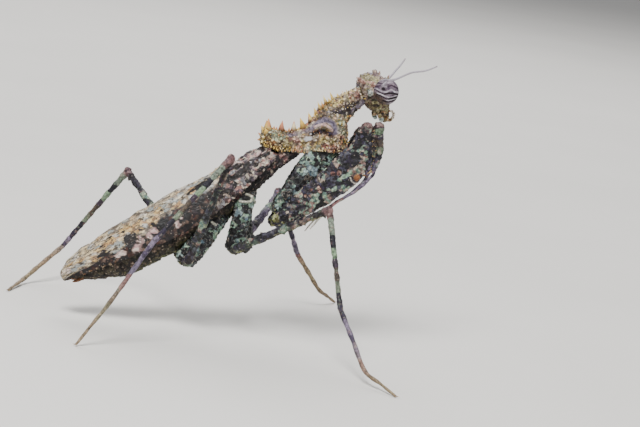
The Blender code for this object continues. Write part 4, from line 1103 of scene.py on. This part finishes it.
# Patches on the coxa and the femur: x, z and size
# The coxa's dark patches are partly near-black spots and partly painted shade over the coxa's top
COXA_DARKS_AND_SHADE = [(-3.36, 17.2, 0.36), (-2.75, 17.05, 0.3), (-2.1, 16.95, 0.34), (-3.28, 18.25, 0.15),
    (-1.55, 19.05, 0.42), (-2.55, 19.4, 0.22), (-3.9, 15.85, 0.15), (-3.3, 16.2, 0.2),
    (-4.35, 14.35, 0.32), (-1.2, 20.3, 0.6), (-2.0, 20.3, 0.5), (-4.8, 14.0, 0.2), (-0.7, 19.6, 0.3),
    (-3.0, 15.4, 0.15), (-4.2, 15.0, 0.14)]
COXA_BLUES = [(-1.95, 18.25, 0.62), (-1.5, 18.0, 0.4), (-3.35, 15.85, 0.3), (-4.0, 15.0, 0.25),
    (-2.4, 18.6, 0.3)]
COXA_LEMONS = [(-3.5, 15.0, 0.28), (-3.2, 15.3, 0.2), (-5.1, 13.4, 0.35), (-4.8, 13.3, 0.3)]
FEMUR_DARKS = [(1.3, 19.7, 0.5), (2.0, 19.9, 0.45), (0.5, 19.9, 0.3), (1.6, 20.4, 0.4), (2.6, 20.3, 0.3),
    (-0.9, 17.35, 0.5), (-0.3, 17.35, 0.32), (0.7, 17.5, 0.22), (2.0, 22.2, 0.3), (2.4, 21.9, 0.22),
    (-2.9, 14.45, 0.36), (1.95, 17.6, 0.3), (-4.9, 14.0, 0.34), (-4.1, 13.7, 0.26), (1.1, 22.2, 0.2),
    (-1.9, 16.3, 0.18), (-1.1, 16.0, 0.15), (0.2, 18.9, 0.18)]
FEMUR_MINTS = [(1.6, 18.75, 0.35), (2.55, 19.1, 0.34), (1.1, 18.3, 0.3), (0.7, 17.95, 0.25),
    (0.3, 16.9, 0.3), (-1.6, 15.7, 0.5), (-2.3, 15.1, 0.3), (1.2, 17.3, 0.2), (-0.6, 16.2, 0.3),
    (1.5, 21.1, 0.2), (2.2, 21.15, 0.2), (2.9, 21.1, 0.2), (0.9, 21.1, 0.15)]
FEMUR_RUSTS = [(-0.2, 18.5, 0.26), (0.5, 18.65, 0.24), (0.4, 19.45, 0.15), (3.2, 20.6, 0.14),
    (1.6, 21.5, 0.18), (-2.1, 16.6, 0.3), (-1.3, 16.7, 0.3), (-2.6, 15.9, 0.2)]
FEMUR_LEMONS = [(-5.4, 13.3, 0.3), (-5.2, 12.9, 0.25), (-4.4, 12.8, 0.25), (2.45, 18.75, 0.12)]
# The round amber boss on the femur, and the white arc under it
AMBER = (2.45, 18.38, 0.42)
WHITE_MARK = [(1.75, 18.3), (1.95, 17.95), (2.25, 17.78), (2.6, 17.75)]


def flat_limb(rows, y, shift=(0.0, 0.0), count=60):
    """Stations of a limb that lies in one plane beside the body, from rows of x, z, half thickness and
    half depth: its ovals stand square to its path."""
    rows = np.column_stack((np.arange(len(rows)), rows))
    x, z, thick, deep = curve(rows, np.linspace(0, len(rows) - 1, count)).T
    centre = np.stack((x + shift[0], y + 0 * x, z + shift[1]), -1)
    forward = unit(np.gradient(centre, axis=0))
    return centre, LEFTWARDS * thick[:, None], np.cross(forward, LEFTWARDS) * deep[:, None]


def knobbly(points, grain, share, fine, lumps):
    """How high a stony skin stands: a share of its grains, then finer grains and soft lumps, each of
    those by a share, a size and a seed."""
    return (share * (grain - 0.45) + fine[0] * (pebbles(points, *fine[1:]) - 0.4)
            + lumps[0] * swell(points, *lumps[1:]))


def stations(points, limbs):
    """For each place, which limb's skin it lies on and how far along it is, 0 to 1: the station whose
    oval it is nearest to."""
    centre, side, up = (np.concatenate([limb[k][::2] for limb in limbs]) for k in range(3))
    counts = [len(limb[0][::2]) for limb in limbs]
    forward = unit(np.cross(side, up))

    def reach(axis):
        return points @ axis.T - (centre * axis).sum(1)

    wide = reach(side / (side ** 2).sum(1)[:, None])
    deep = reach(up / (up ** 2).sum(1)[:, None])
    ahead = reach(forward)
    best = (wide ** 2 + deep ** 2 + (ahead / 0.3) ** 2).argmin(1)
    which = np.repeat(np.arange(len(limbs)), counts)[best]
    step = np.concatenate([np.full(n, np.linalg.norm(np.diff(limb[0], axis=0), axis=1).sum() / n)
                           for n, limb in zip(counts, limbs)])[best]
    number = np.concatenate([np.arange(n) for n in counts])[best]
    share = (number + ahead[np.arange(len(points)), best] / step) / (np.array(counts)[which] - 1)
    return which, held(share)


def coxa_hide(place):
    """Mint and stone-blue lichen in flat patches, a pale net over black between them, near-black round
    spots, which over the fore coxa's top are painted shade, and lemon green at the lower end."""
    stone = place.patchwork(0.36, [(170, 196, 176), (126, 146, 140), (194, 210, 188), (150, 174, 156),
        (182, 200, 196), (100, 110, 110), (160, 184, 176), (60, 58, 66)])
    dark = place.patchwork(0.36, [(22, 18, 26), (48, 44, 56), (34, 30, 34), (80, 76, 86), (20, 16, 22),
        (112, 116, 118)])
    lines = place.patchwork(0.5, [(158, 164, 158), (186, 176, 162), (120, 128, 134)])
    net = (place.net(0.6, 0.06, 0.9) * 0.5).blend(dark, lines)
    colour = place.cloud(1.3, 4.0).above(0.47, 0.51).blend(stone, net)
    blues = [(150, 170, 176), (180, 196, 196), (122, 144, 156), (166, 184, 190)]
    colour = place.patched("blue", colour, 0.4, blues, 0.92)
    colour = place.speckled(colour, 0.8, (0.16, 0.22), (30, 22, 30), 0.9, 0.5)
    colour = place.speckled(colour, 0.7, (0.09, 0.15), (206, 196, 190), 0.8)
    lemons = [(160, 164, 116), (190, 190, 150), (112, 110, 76), (64, 58, 46), (40, 34, 36)]
    colour = place.patched("lemon", colour, 0.3, lemons)
    # dark: near-black spots, and on the fore coxa's top painted shade
    colour = place.patched("dark", colour, 0.25, [(20, 16, 22), (40, 32, 44), (28, 22, 26)])
    colour = place.patched("pale", colour, 0.3, [(232, 230, 214), (212, 212, 196)])
    colour = place.grained(colour, 0.24, 0.35, 0.4)
    # painted shade: near-black in the pits between the carved grains
    colour, grains = place.shade_pits(colour, 0.0, 0.4, 0.5, (22, 20, 26))
    return colour, 0.5 + 0.3 * place.cloud(0.25), place.cloud(0.07, 3.0) + 0.5 * grains


def limb_hide(place):
    """Blue-black, mint, pink and grey flakes on the broad limbs; the thin ones are banded in pink, grey
    green, navy, light green, mauve and brown, each band 0.6 to 1.8 millimetres long."""
    shadow = place.patchwork(0.32, [(26, 22, 42), (52, 46, 70), (32, 24, 34), (84, 80, 102),
        (20, 14, 26), (66, 54, 64), (104, 104, 116)])
    bloom = place.patchwork(0.32, [(190, 174, 160), (152, 170, 156), (208, 196, 178), (166, 136, 130),
        (120, 112, 110), (172, 190, 172), (180, 152, 144), (84, 74, 78), (140, 132, 126)])
    mottle = place.cloud(1.1, 4.0).above(0.52, 0.56).blend(shadow, bloom)
    along = place.weight("mm") + 0.7 * place.cloud(0.5) - 0.35
    # length and colour of each band, from the knee to the claws
    rows = [(1.3, (150, 122, 120)), (1.8, (160, 172, 156)), (1.2, (44, 38, 60)), (1.3, (158, 180, 152)),
        (0.9, (96, 80, 96)), (1.5, (116, 104, 90)), (1.2, (150, 162, 140)), (1.3, (52, 42, 66)),
        (1.2, (78, 66, 92)), (0.9, (160, 148, 168)), (0.6, (112, 100, 124)), (1.2, (150, 140, 160)),
        (1.1, (168, 130, 130)), (0.9, (66, 52, 68)), (1.2, (160, 168, 142)), (1.6, (120, 104, 110))]
    starts = np.cumsum([0.0] + [length for length, _ in rows])
    bands = (along * (1 / starts[-1])).ramp(starts[:-1] / starts[-1], [paint for _, paint in rows])
    mixed = (place.cloud(0.3, 3.0).above(0.48, 0.58) * 0.45).blend(bands, mottle)
    colour = place.weight("banded").blend(mottle, mixed)
    for key, colours in (
            ("mint", [(162, 190, 166), (196, 206, 182), (130, 156, 146), (176, 196, 180)]),
            ("rust", [(186, 146, 128), (150, 112, 104), (206, 178, 162), (108, 78, 76)]),
            ("lemon", [(166, 170, 118), (136, 132, 88), (196, 196, 156), (70, 62, 50)]),
            ("dark", [(24, 18, 30), (46, 36, 62), (32, 26, 36), (70, 56, 84)])):
        colour = place.patched(key, colour, 0.28, colours, 0.92)
    amber = place.cloud(0.4).above(0.3, 0.7).blend(tint(206, 156, 104), tint(168, 112, 74))
    colour = place.weight("amber").blend(colour, amber)
    colour = place.weight("white").blend(colour, tint(226, 220, 210))
    foot = (along * 3.0).math("SINE").above(-0.2, 0.3).blend(tint(104, 84, 72), tint(184, 166, 138))
    colour = place.weight("foot").blend(colour, foot)
    rosy = [(172, 138, 138), (116, 88, 92), (194, 166, 162), (140, 110, 110)]
    colour = place.grained(place.patched("knee", colour, 0.3, rosy), 0.22, 0.3, 0.35)
    # painted shade: near-black in the pits between the carved grains
    colour, grains = place.shade_pits(colour, 0.0, 0.4, 0.55, (22, 18, 22))
    return colour, 0.5 + 0.25 * place.cloud(0.25), place.cloud(0.06, 3.0) + 0.5 * grains


coxa_finish = finish("coxa_lichen", coxa_hide, grit=0.35)
limb_finish = finish("limb_hide", limb_hide, grit=0.35)
for side, sign in SIDES.items():
    shift = np.array(LEFT_SHIFT if sign > 0 else (0.0, 0.0))
    low = shift * (0.6, 0.3)
    coxa = flat_limb(FORE_COXA, sign * FORE_COXA_Y, low)
    coxa[0][:, 1] -= sign * held(1 - np.linspace(0, 1, 60) * 3.4)      # its top leans to the body
    mesh, points, normals = fuse("fore_coxa", [loft(*coxa, 40, LIMB_POWER)], voxel=0.065)
    grain = pebbles(points, 0.42, 50 + sign)
    rise = knobbly(points, grain, 0.15, (0.07, 0.2, 52), (0.12, 0.9, 54)) - 0.03
    points = points + normals * rise[:, None]
    side_view = points[:, ::2] - low
    # dark: near-black spots, and painted shade over the coxa's top
    show("fore_coxa_stone_" + side, mesh, points, coxa_finish, "lichen", ["fore_coxa_" + side],
         relief=grain, dark=marks(side_view, COXA_DARKS_AND_SHADE, 55, 0.5), blue=marks(side_view, COXA_BLUES, 56, 0.4),
         lemon=marks(side_view, COXA_LEMONS, 57, 0.5))

    femur = flat_limb(FORE_FEMUR, sign * FORE_FEMUR_Y, shift)
    tibia = flat_limb(FORE_TIBIA, sign * FORE_FEMUR_Y, shift)
    foot_path = [(x + shift[0], sign * (FORE_FEMUR_Y + 0.1), z + shift[1]) for x, z in FORE_FOOT]
    foot = tube(foot_path, [0.22, 0.2, 0.17, 0.16, 0.16, 0.15, 0.1], 90, bead=0.1, beads=7)
    elbow = np.array([(-4.75, 1.9, 13.3), (-5.0, 2.5, 12.8), (-4.7, 3.0, 13.0)]) * (1, sign, 1)
    elbow[:, ::2] += shift * ((0.6, 0.3), (0.8, 0.7), (1.0, 1.0))
    knee = np.array([(2.6, 3.0, 22.6), (3.5, 3.0, 22.75), (4.3, 3.0, 22.9)]) * (1, sign, 1)
    knee[:, ::2] += shift
    shapes = [loft(*femur, 40, LIMB_POWER), loft(*tibia, 32, LIMB_POWER), loft(*foot, 14),
              loft(*tube(elbow, [0.5, 0.52, 0.42], 30)), loft(*tube(knee, [0.36, 0.3, 0.36], 30))]
    mesh, points, normals = fuse("foreleg", shapes, voxel=0.06)
    which, share = stations(points, [femur, tibia, foot])
    grain = pebbles(points, 0.36, 60 + sign)
    rough = np.array((1.0, 0.7, 0.25))[which]
    side_view = points[:, ::2] - shift
    amber = held(3 * (1 - np.linalg.norm(side_view - AMBER[:2], axis=1) / AMBER[2])) * (which == 0)
    rise = rough * (1 - amber) * knobbly(points, grain, 0.14, (0.07, 0.18, 62), (0.11, 0.8, 64))
    points = points + normals * (rise + 0.1 * amber - 0.02)[:, None]
    patches = {key: marks(side_view, spots, seed, 0.5) * (which == 0) for key, spots, seed in (
        ("dark", FEMUR_DARKS, 65), ("mint", FEMUR_MINTS, 66),
        ("rust", FEMUR_RUSTS, 67), ("lemon", FEMUR_LEMONS, 68))}
    show("foreleg_hide_" + side, mesh, points, limb_finish, "mottled_leg",
         ["fore_femur_" + side, "fore_tibia_" + side, "fore_tarsus_" + side], relief=grain,
         mm=np.choose(which, (0 * share, 1.6 + 13.0 * share, 11.0 + 7.0 * share)), amber=amber,
         banded=np.array((0.0, 0.7, 1.0))[which], **patches,
         white=np.where(which == 0, np.clip(2.4 * beside(side_view, WHITE_MARK, 0.065) - 0.5, 0, 0.75),
                        np.clip(share * 8 - 6, 0, 0.75) * (which == 2)),
         knee=0.8 * np.where(which == 0, held((share - 0.84) * 9), held(1.5 - share * 6) * (which == 1)))

    # spines of the catching edge, in front of the femur, and along the inside of the tibia with its hook
    centre, _, deep = femur
    number = np.arange(FEMUR_SPINES)
    row = np.linspace(14, 50, FEMUR_SPINES).astype(int)
    out = deep[row] * np.sign(deep[20, 0])
    apart = LEFTWARDS * np.where(number % 2, 0.22, -0.22)[:, None]
    lean = unit(out) + 0.45 * unit(np.gradient(centre, axis=0))[row] + 1.5 * apart
    fore = thorns(centre[row] + 0.93 * out + apart, lean, 0.22 + 0.14 * (number % 3 == 0), 0.08, 6)
    centre, _, deep = tibia
    row = np.linspace(14, 54, TIBIA_SPINES).astype(int)
    out = -deep[row] * np.sign(deep[30, 0])
    inside = thorns(centre[row] + 0.9 * out, unit(out) + (0, 0, -0.8), 0.2, 0.06, 6)
    hook = thorns(centre[-4:-3], np.array([(-0.9, 0.0, -0.55)]), 0.8, 0.17, 8)
    spine_points, spine_faces = joined([fore, inside, hook])
    show("foreleg_spines_" + side, blank("spines", spine_points, spine_faces), spine_points, thorn_finish,
         "mottled_leg", tip=np.concatenate((tips(FEMUR_SPINES + TIBIA_SPINES, 6), tips(1, 8))) * 0.35)


# ----------------------------------------------------------------------
# Walking legs. A thick coxa hangs from the thorax; a long femur with small leafy lobes rises to the knee,
# a thinner banded tibia comes down from it, and a five-jointed foot with two claws runs to the floor.

COXA_Y, FEMUR_Y = 1.7, 3.1
# Hip and lower end of the coxa (x, z) with its half thickness and depth; lengths; patches (x, z, size)
# and lines. Then for each side: yaw and pitch of femur and tibia, the toe's knuckle and the claws, where
# the colour bands of femur and tibia begin, how strong they are, and how dark the femur is. A knee over 1
# is a swollen one.
WALKING = {
    "mid": {
        "hip": (-8.25, 14.9), "trochanter": (-8.8, 9.5), "coxa": ((0.85, 1.05), (0.85, 0.98), (0.8, 1.05)),
        "femur": 10.6, "tibia": 10.4, "femur_radii": (0.5, 0.48, 0.46, 0.43, 0.4, 0.44),
        "darks": [(-9.3, 11.0, 0.4), (-8.6, 10.6, 0.3), (-9.0, 12.2, 0.25), (-9.4, 9.8, 0.35),
                  (-8.4, 9.6, 0.3), (-8.4, 14.6, 0.4), (-9.3, 14.8, 0.5), (-8.3, 13.6, 0.45),
                  (-8.5, 15.7, 0.5)],
        "blues": [(-9.1, 13.0, 0.4), (-8.2, 12.6, 0.3), (-8.7, 10.2, 0.2)],
        "whites": [[(-9.0, 14.25), (-8.4, 14.25), (-7.85, 14.4), (-7.75, 14.85), (-8.5, 15.05)],
                   [(-7.5, 14.4), (-7.3, 14.2)]],
        "right": {"femur": (24, 32.5), "tibia": (71, -61.5), "toe": (3.0, -17.6, 1.3), "foot": (5.3, -22.0),
                  "hue": 5.0, "start": 0.4, "banded": 0.2, "gloom": 0.3},
        "left": {"femur": (58.5, 24), "tibia": (52.8, -45.6), "toe": (5.6, 19.0, 2.0), "foot": (8.4, 22.2),
                 "hue": 11.5, "start": 4.3, "banded": 0.9, "gloom": -0.8,
                 "knee": 1.5, "trochanter": (-7.25, 9.05)},
    },
    "hind": {
        "hip": (-10.75, 12.2), "trochanter": (-13.6, 7.6), "coxa": ((0.85, 1.0), (0.85, 1.15), (0.8, 1.15)),
        "femur": 12.2, "tibia": 12.2, "femur_radii": (0.5, 0.46, 0.42, 0.38, 0.34, 0.4),
        "darks": [(-11.9, 11.3, 0.4), (-11.2, 12.1, 0.4), (-13.0, 9.8, 0.35), (-13.9, 8.4, 0.4),
                  (-12.2, 10.2, 0.3), (-14.3, 7.6, 0.3), (-11.6, 11.0, 0.25)],
        "blues": [(-12.9, 8.9, 0.35), (-12.4, 9.6, 0.3), (-13.6, 7.6, 0.3), (-11.7, 11.8, 0.2)],
        "whites": [[(-11.6, 11.75), (-11.2, 11.5)], [(-13.3, 8.9), (-12.9, 9.3)]],
        "right": {"femur": (56, 71.5), "tibia": (147.5, -44.5), "toe": (-22.6, -12.9, 4.3),
                  "foot": (-25.5, -14.4), "hue": 1.0, "start": 0.0, "banded": 0.1, "gloom": -0.4},
        "left": {"femur": (119, 30), "tibia": (135, -54), "toe": (-28.1, 12.9, 0.6), "foot": (-30.1, 8.4),
                 "hue": 9.2, "start": 1.0, "banded": 0.6, "gloom": 0.5},
    },
}
# Lobes of the femora: share of the length, degrees round it from above, length, foot radius
LOBES = [(0.2, 350, 0.34, 0.24), (0.28, 15, 0.26, 0.2), (0.5, 200, 0.2, 0.18), (0.72, 170, 0.22, 0.18),
    (0.93, 185, 0.26, 0.22), (0.55, 20, 0.16, 0.16)]


def heading(yaw, pitch, sign):
    """The way a leg piece points: yaw from straight ahead towards its own side, pitch above the level."""
    yaw, pitch = math.radians(yaw), math.radians(pitch)
    level = math.cos(pitch)
    return np.array((level * math.cos(yaw), sign * level * math.sin(yaw), math.sin(pitch)))


def claw_horn(place):
    """Translucent brown horn, paler at the tip."""
    colour = place.weight("tip").blend(tint(120, 84, 62), tint(226, 206, 170))
    return colour, 0.35 + 0.1 * place.cloud(0.1), place.cloud(0.05)


claw_finish = finish("claw_horn", claw_horn, gloss=0.2)
for pair, plan in WALKING.items():
    for side, sign in SIDES.items():
        pose = plan[side]
        seed = 70 + 3 * sign + len(pair)
        hip = np.array((plan["hip"][0], sign * COXA_Y, plan["hip"][1]))
        low_x, low_z = pose.get("trochanter", plan["trochanter"])
        knob = np.array((low_x, sign * COXA_Y, low_z))
        down = unit(knob - hip)
        middle = hip + 0.55 * (knob - hip)
        rows = np.array((hip - 0.9 * down, hip, middle, knob, knob + 0.5 * down, knob + 0.85 * down))
        sizes = np.array((*plan["coxa"][:1], *plan["coxa"], (0.6, 0.8), (0.3, 0.4)))
        coxa = flat_limb(np.column_stack((rows[:, ::2], sizes)), sign * COXA_Y)
        coxa[0][:, 1] -= sign * 1.3 * held(1 - np.linspace(0, 1, 60) * 2.8)
        mesh, points, normals = fuse("coxa", [loft(*coxa, 36, LIMB_POWER)], voxel=0.065)
        share = stations(points, [coxa])[1]
        grain = pebbles(points, 0.36, seed)
        rise = knobbly(points, grain, 0.15, (0.07, 0.18, seed + 1), (0.11, 0.8, seed + 2)) - 0.02
        points = points + normals * rise[:, None]
        side_view = points[:, ::2]
        rear_edge = held((share - 0.8) * 7 + 0.6 * swell(points, 0.4, seed))
        lines = [beside(side_view, line, 0.14) for line in plan["whites"]]
        pale = held(2.4 * np.max(lines, axis=0) - 0.8)
        points = points + normals * 0.14 * pale[:, None]
        show(pair + "_coxa_stone_" + side, mesh, points, coxa_finish, "lichen", [f"{pair}_coxa_{side}"],
             relief=grain, dark=marks(side_view, plan["darks"], seed + 3, 0.5),
             blue=marks(side_view, plan["blues"], seed + 4, 0.5), pale=pale,
             lemon=rear_edge * (points[:, 2] < knob[2] - 0.3))

        root = np.array((low_x, sign * FEMUR_Y, low_z))
        femur_way = heading(*pose["femur"], sign)
        knee = root + femur_way * plan["femur"]
        ankle = knee + heading(*pose["tibia"], sign) * plan["tibia"]
        toe = np.array(pose["toe"])
        sole = np.array((*pose["foot"], 0.15))
        radii = np.array((plan["femur_radii"][0] * 0.8, *plan["femur_radii"]))
        shares = np.linspace(0, 1, 6)[:, None]
        femur_path = np.vstack((root - 0.3 * femur_way, root + (knee - root) * shares))
        femur = tube(femur_path, radii, 120, bead=0.05, beads=9)
        tibia_path = knee + (ankle - knee) * np.linspace(0, 1, 5)[:, None]
        tibia = tube(tibia_path, [0.38, 0.32, 0.3, 0.29, 0.32], 120, bead=0.05, beads=8)
        foot_path = [ankle, (ankle + toe) / 2, toe, (toe + sole) / 2, sole]
        foot = tube(foot_path, [0.3, 0.27, 0.25, 0.2, 0.16], 100, bead=0.08, beads=6)
        lobes = []
        above = unit(np.cross(np.cross(femur_way, (0, 0, 1)), femur_way))
        aside = np.cross(femur_way, above)
        for share, turn, height, wide in LOBES:
            way = above * math.cos(math.radians(turn)) + aside * math.sin(math.radians(turn)) * sign
            low = root + (knee - root) * share
            path = [low, low + way * (0.35 + height * 0.5), low + way * (0.36 + height) + 0.1 * femur_way]
            lobes.append(loft(*tube(path, wide * np.array((1, 0.8, 0.3)), 16)))
        hip_path = [knob + (0, 0.1 * sign, -0.1), (knob + root) / 2 + (0, 0, -0.2), root]
        hip_joint = loft(*tube(hip_path, [0.6, 0.55, 0.45], 30))
        swollen = pose.get("knee", 1.0)
        knee_path = [knee - 0.9 * femur_way, knee - 0.35 * femur_way, knee + (0, 0, 0.06),
                     ankle * 0.04 + knee * 0.96]
        knee_joint = loft(*tube(knee_path, [0.4, 0.4 * swollen, 0.42 * swollen, 0.32], 24))
        shapes = [loft(*femur, 20), loft(*tibia, 16), loft(*foot, 14), *lobes, hip_joint, knee_joint]
        mesh, points, normals = fuse("leg", shapes, voxel=0.058)
        which, share = stations(points, [femur, tibia, foot])
        grain = pebbles(points, 0.3, seed + 5)
        rough = np.array((1.0, 0.55, 0.2))[which]
        rise = rough * knobbly(points, grain, 0.11, (0.06, 0.16, seed + 6), (0.10, 0.6, seed + 7)) - 0.02
        points = points + normals * rise[:, None]
        at_knee = np.where(which == 0, held((share - 0.93) * 20), held(1 - share * 14) * (which == 1))
        show(pair + "_leg_hide_" + side, mesh, points, limb_finish, "banded_leg",
             [f"{pair}_{part}_{side}" for part in ("femur", "tibia", "tarsus")], relief=grain,
             mm=np.choose(which, (pose["hue"] + 3.0 * share, pose["start"] + plan["tibia"] * share,
                                  pose["start"] + plan["tibia"] + 7.0 * share)),
             foot=np.clip((which == 2) * (share * 1.6 + (0.6 if side == "left" else -0.5)), 0, 0.8),
             banded=np.array((pose["banded"], 1.0, 1.0))[which], knee=0.8 * at_knee * (swollen < 1.2),
             mint=held(2 * swell(points, 0.9, seed + 9) - 0.2) * (which == 0),
             dark=held(2.5 * swell(points, 0.7, seed + 10) + pose["gloom"]
                       + 9 * (swollen - 1) * held(share - 0.75)) * (which == 0),
             lemon=held(-1.6 * normals[:, 2] - 0.9 + swell(points, 0.5, seed + 8)) * (which == 0))

        # two claws and the spurs at the end of the tibia
        ahead = unit(sole - toe)
        across = unit(np.cross(ahead, (0, 0, 1)))
        both = np.outer((1, -1), across)
        claws = thorns(sole + 0.06 * both + (0, 0, 0.02), (ahead + 0.7 * both) * (1, 1, 0) + (0, 0, -0.05),
                       0.38, 0.06, 7)
        spurs = thorns(ankle + 0 * both, ankle - knee + 3 * both, 0.6, 0.1, 7)
        claw_points, claw_faces = joined([claws, spurs])
        show(f"{pair}_claws_{side}", blank("claws", claw_points, claw_faces), claw_points, claw_finish,
             "foot_brown", tip=tips(4, 7))


# ----------------------------------------------------------------------
# Studio. A pale floor, a broad soft lamp high to the left of the camera and weaker ones opposite, and the
# camera low beside the animal's right side, looking a little forward and down.

def floor_paint(place):
    """Matt off-white board with the faintest mottle."""
    colour = place.cloud(30.0).blend(tint(226, 224, 220), tint(220, 218, 214))
    return colour, 0.8 + 0.05 * place.cloud(9.0), place.cloud(2.0)


across, deep = np.meshgrid(np.linspace(-3, 3, 9), np.linspace(-3, 3, 9), indexing="ij")
points = np.stack((across, deep, 0 * across), -1).reshape(-1, 3)
corner = (np.arange(8)[:, None] * 9 + np.arange(8)).ravel()
mesh = blank("floor", points, np.stack((corner, corner + 9, corner + 10, corner + 1), -1))
mesh.materials.append(finish("floor_board", floor_paint))
floor = bpy.data.objects.new("floor", mesh)
bpy.context.scene.collection.objects.link(floor)


def aim(right, up, back, place):
    """A lamp's or camera's turn and place from its own three axes."""
    return [(right[k], up[k], back[k], place[k]) for k in range(3)] + [(0, 0, 0, 1)]


def lamp(name, place, target, size, power, colour=(1.0, 1.0, 1.0)):
    """A square soft lamp at a place, turned to face a target."""
    light = bpy.data.lights.new(name, "AREA")
    light.size = size
    light.energy = power
    light.color = colour
    holder = bpy.data.objects.new(name, light)
    back = unit(np.array(place, float) - target)
    right = unit(np.cross((0.0, 0.0, 1.0), back))
    holder.matrix_world = Matrix(aim(right, np.cross(back, right), back, place))
    bpy.context.scene.collection.objects.link(holder)


MIDDLE = np.array((0.0, 0.0, 0.015))
lamp("key", (-0.14, -0.24, 0.38), MIDDLE, 0.16, 3.6)
lamp("fill", (0.34, -0.22, 0.14), MIDDLE, 0.3, 0.55)
lamp("back", (0.05, 0.32, 0.30), MIDDLE, 0.3, 1.6)
world = bpy.data.worlds.new("studio")
world.use_nodes = True
world.node_tree.nodes["Background"].inputs["Color"].default_value = (0.93, 0.95, 1.0, 1.0)
world.node_tree.nodes["Background"].inputs["Strength"].default_value = 0.32
bpy.context.scene.world = world

lens = bpy.data.cameras.new("camera")
lens.lens = 156.6
lens.sensor_width = 36.0
lens.clip_start = 0.01
camera = bpy.data.objects.new("camera", lens)
camera.matrix_world = Matrix(aim((0.96788, -0.19834, 0.15451), (-0.11767, 0.18574, 0.97553),
    (-0.22218, -0.96237, 0.15643), (-0.054173, -0.279208, 0.059006)))
bpy.context.scene.collection.objects.link(camera)
bpy.context.scene.camera = camera
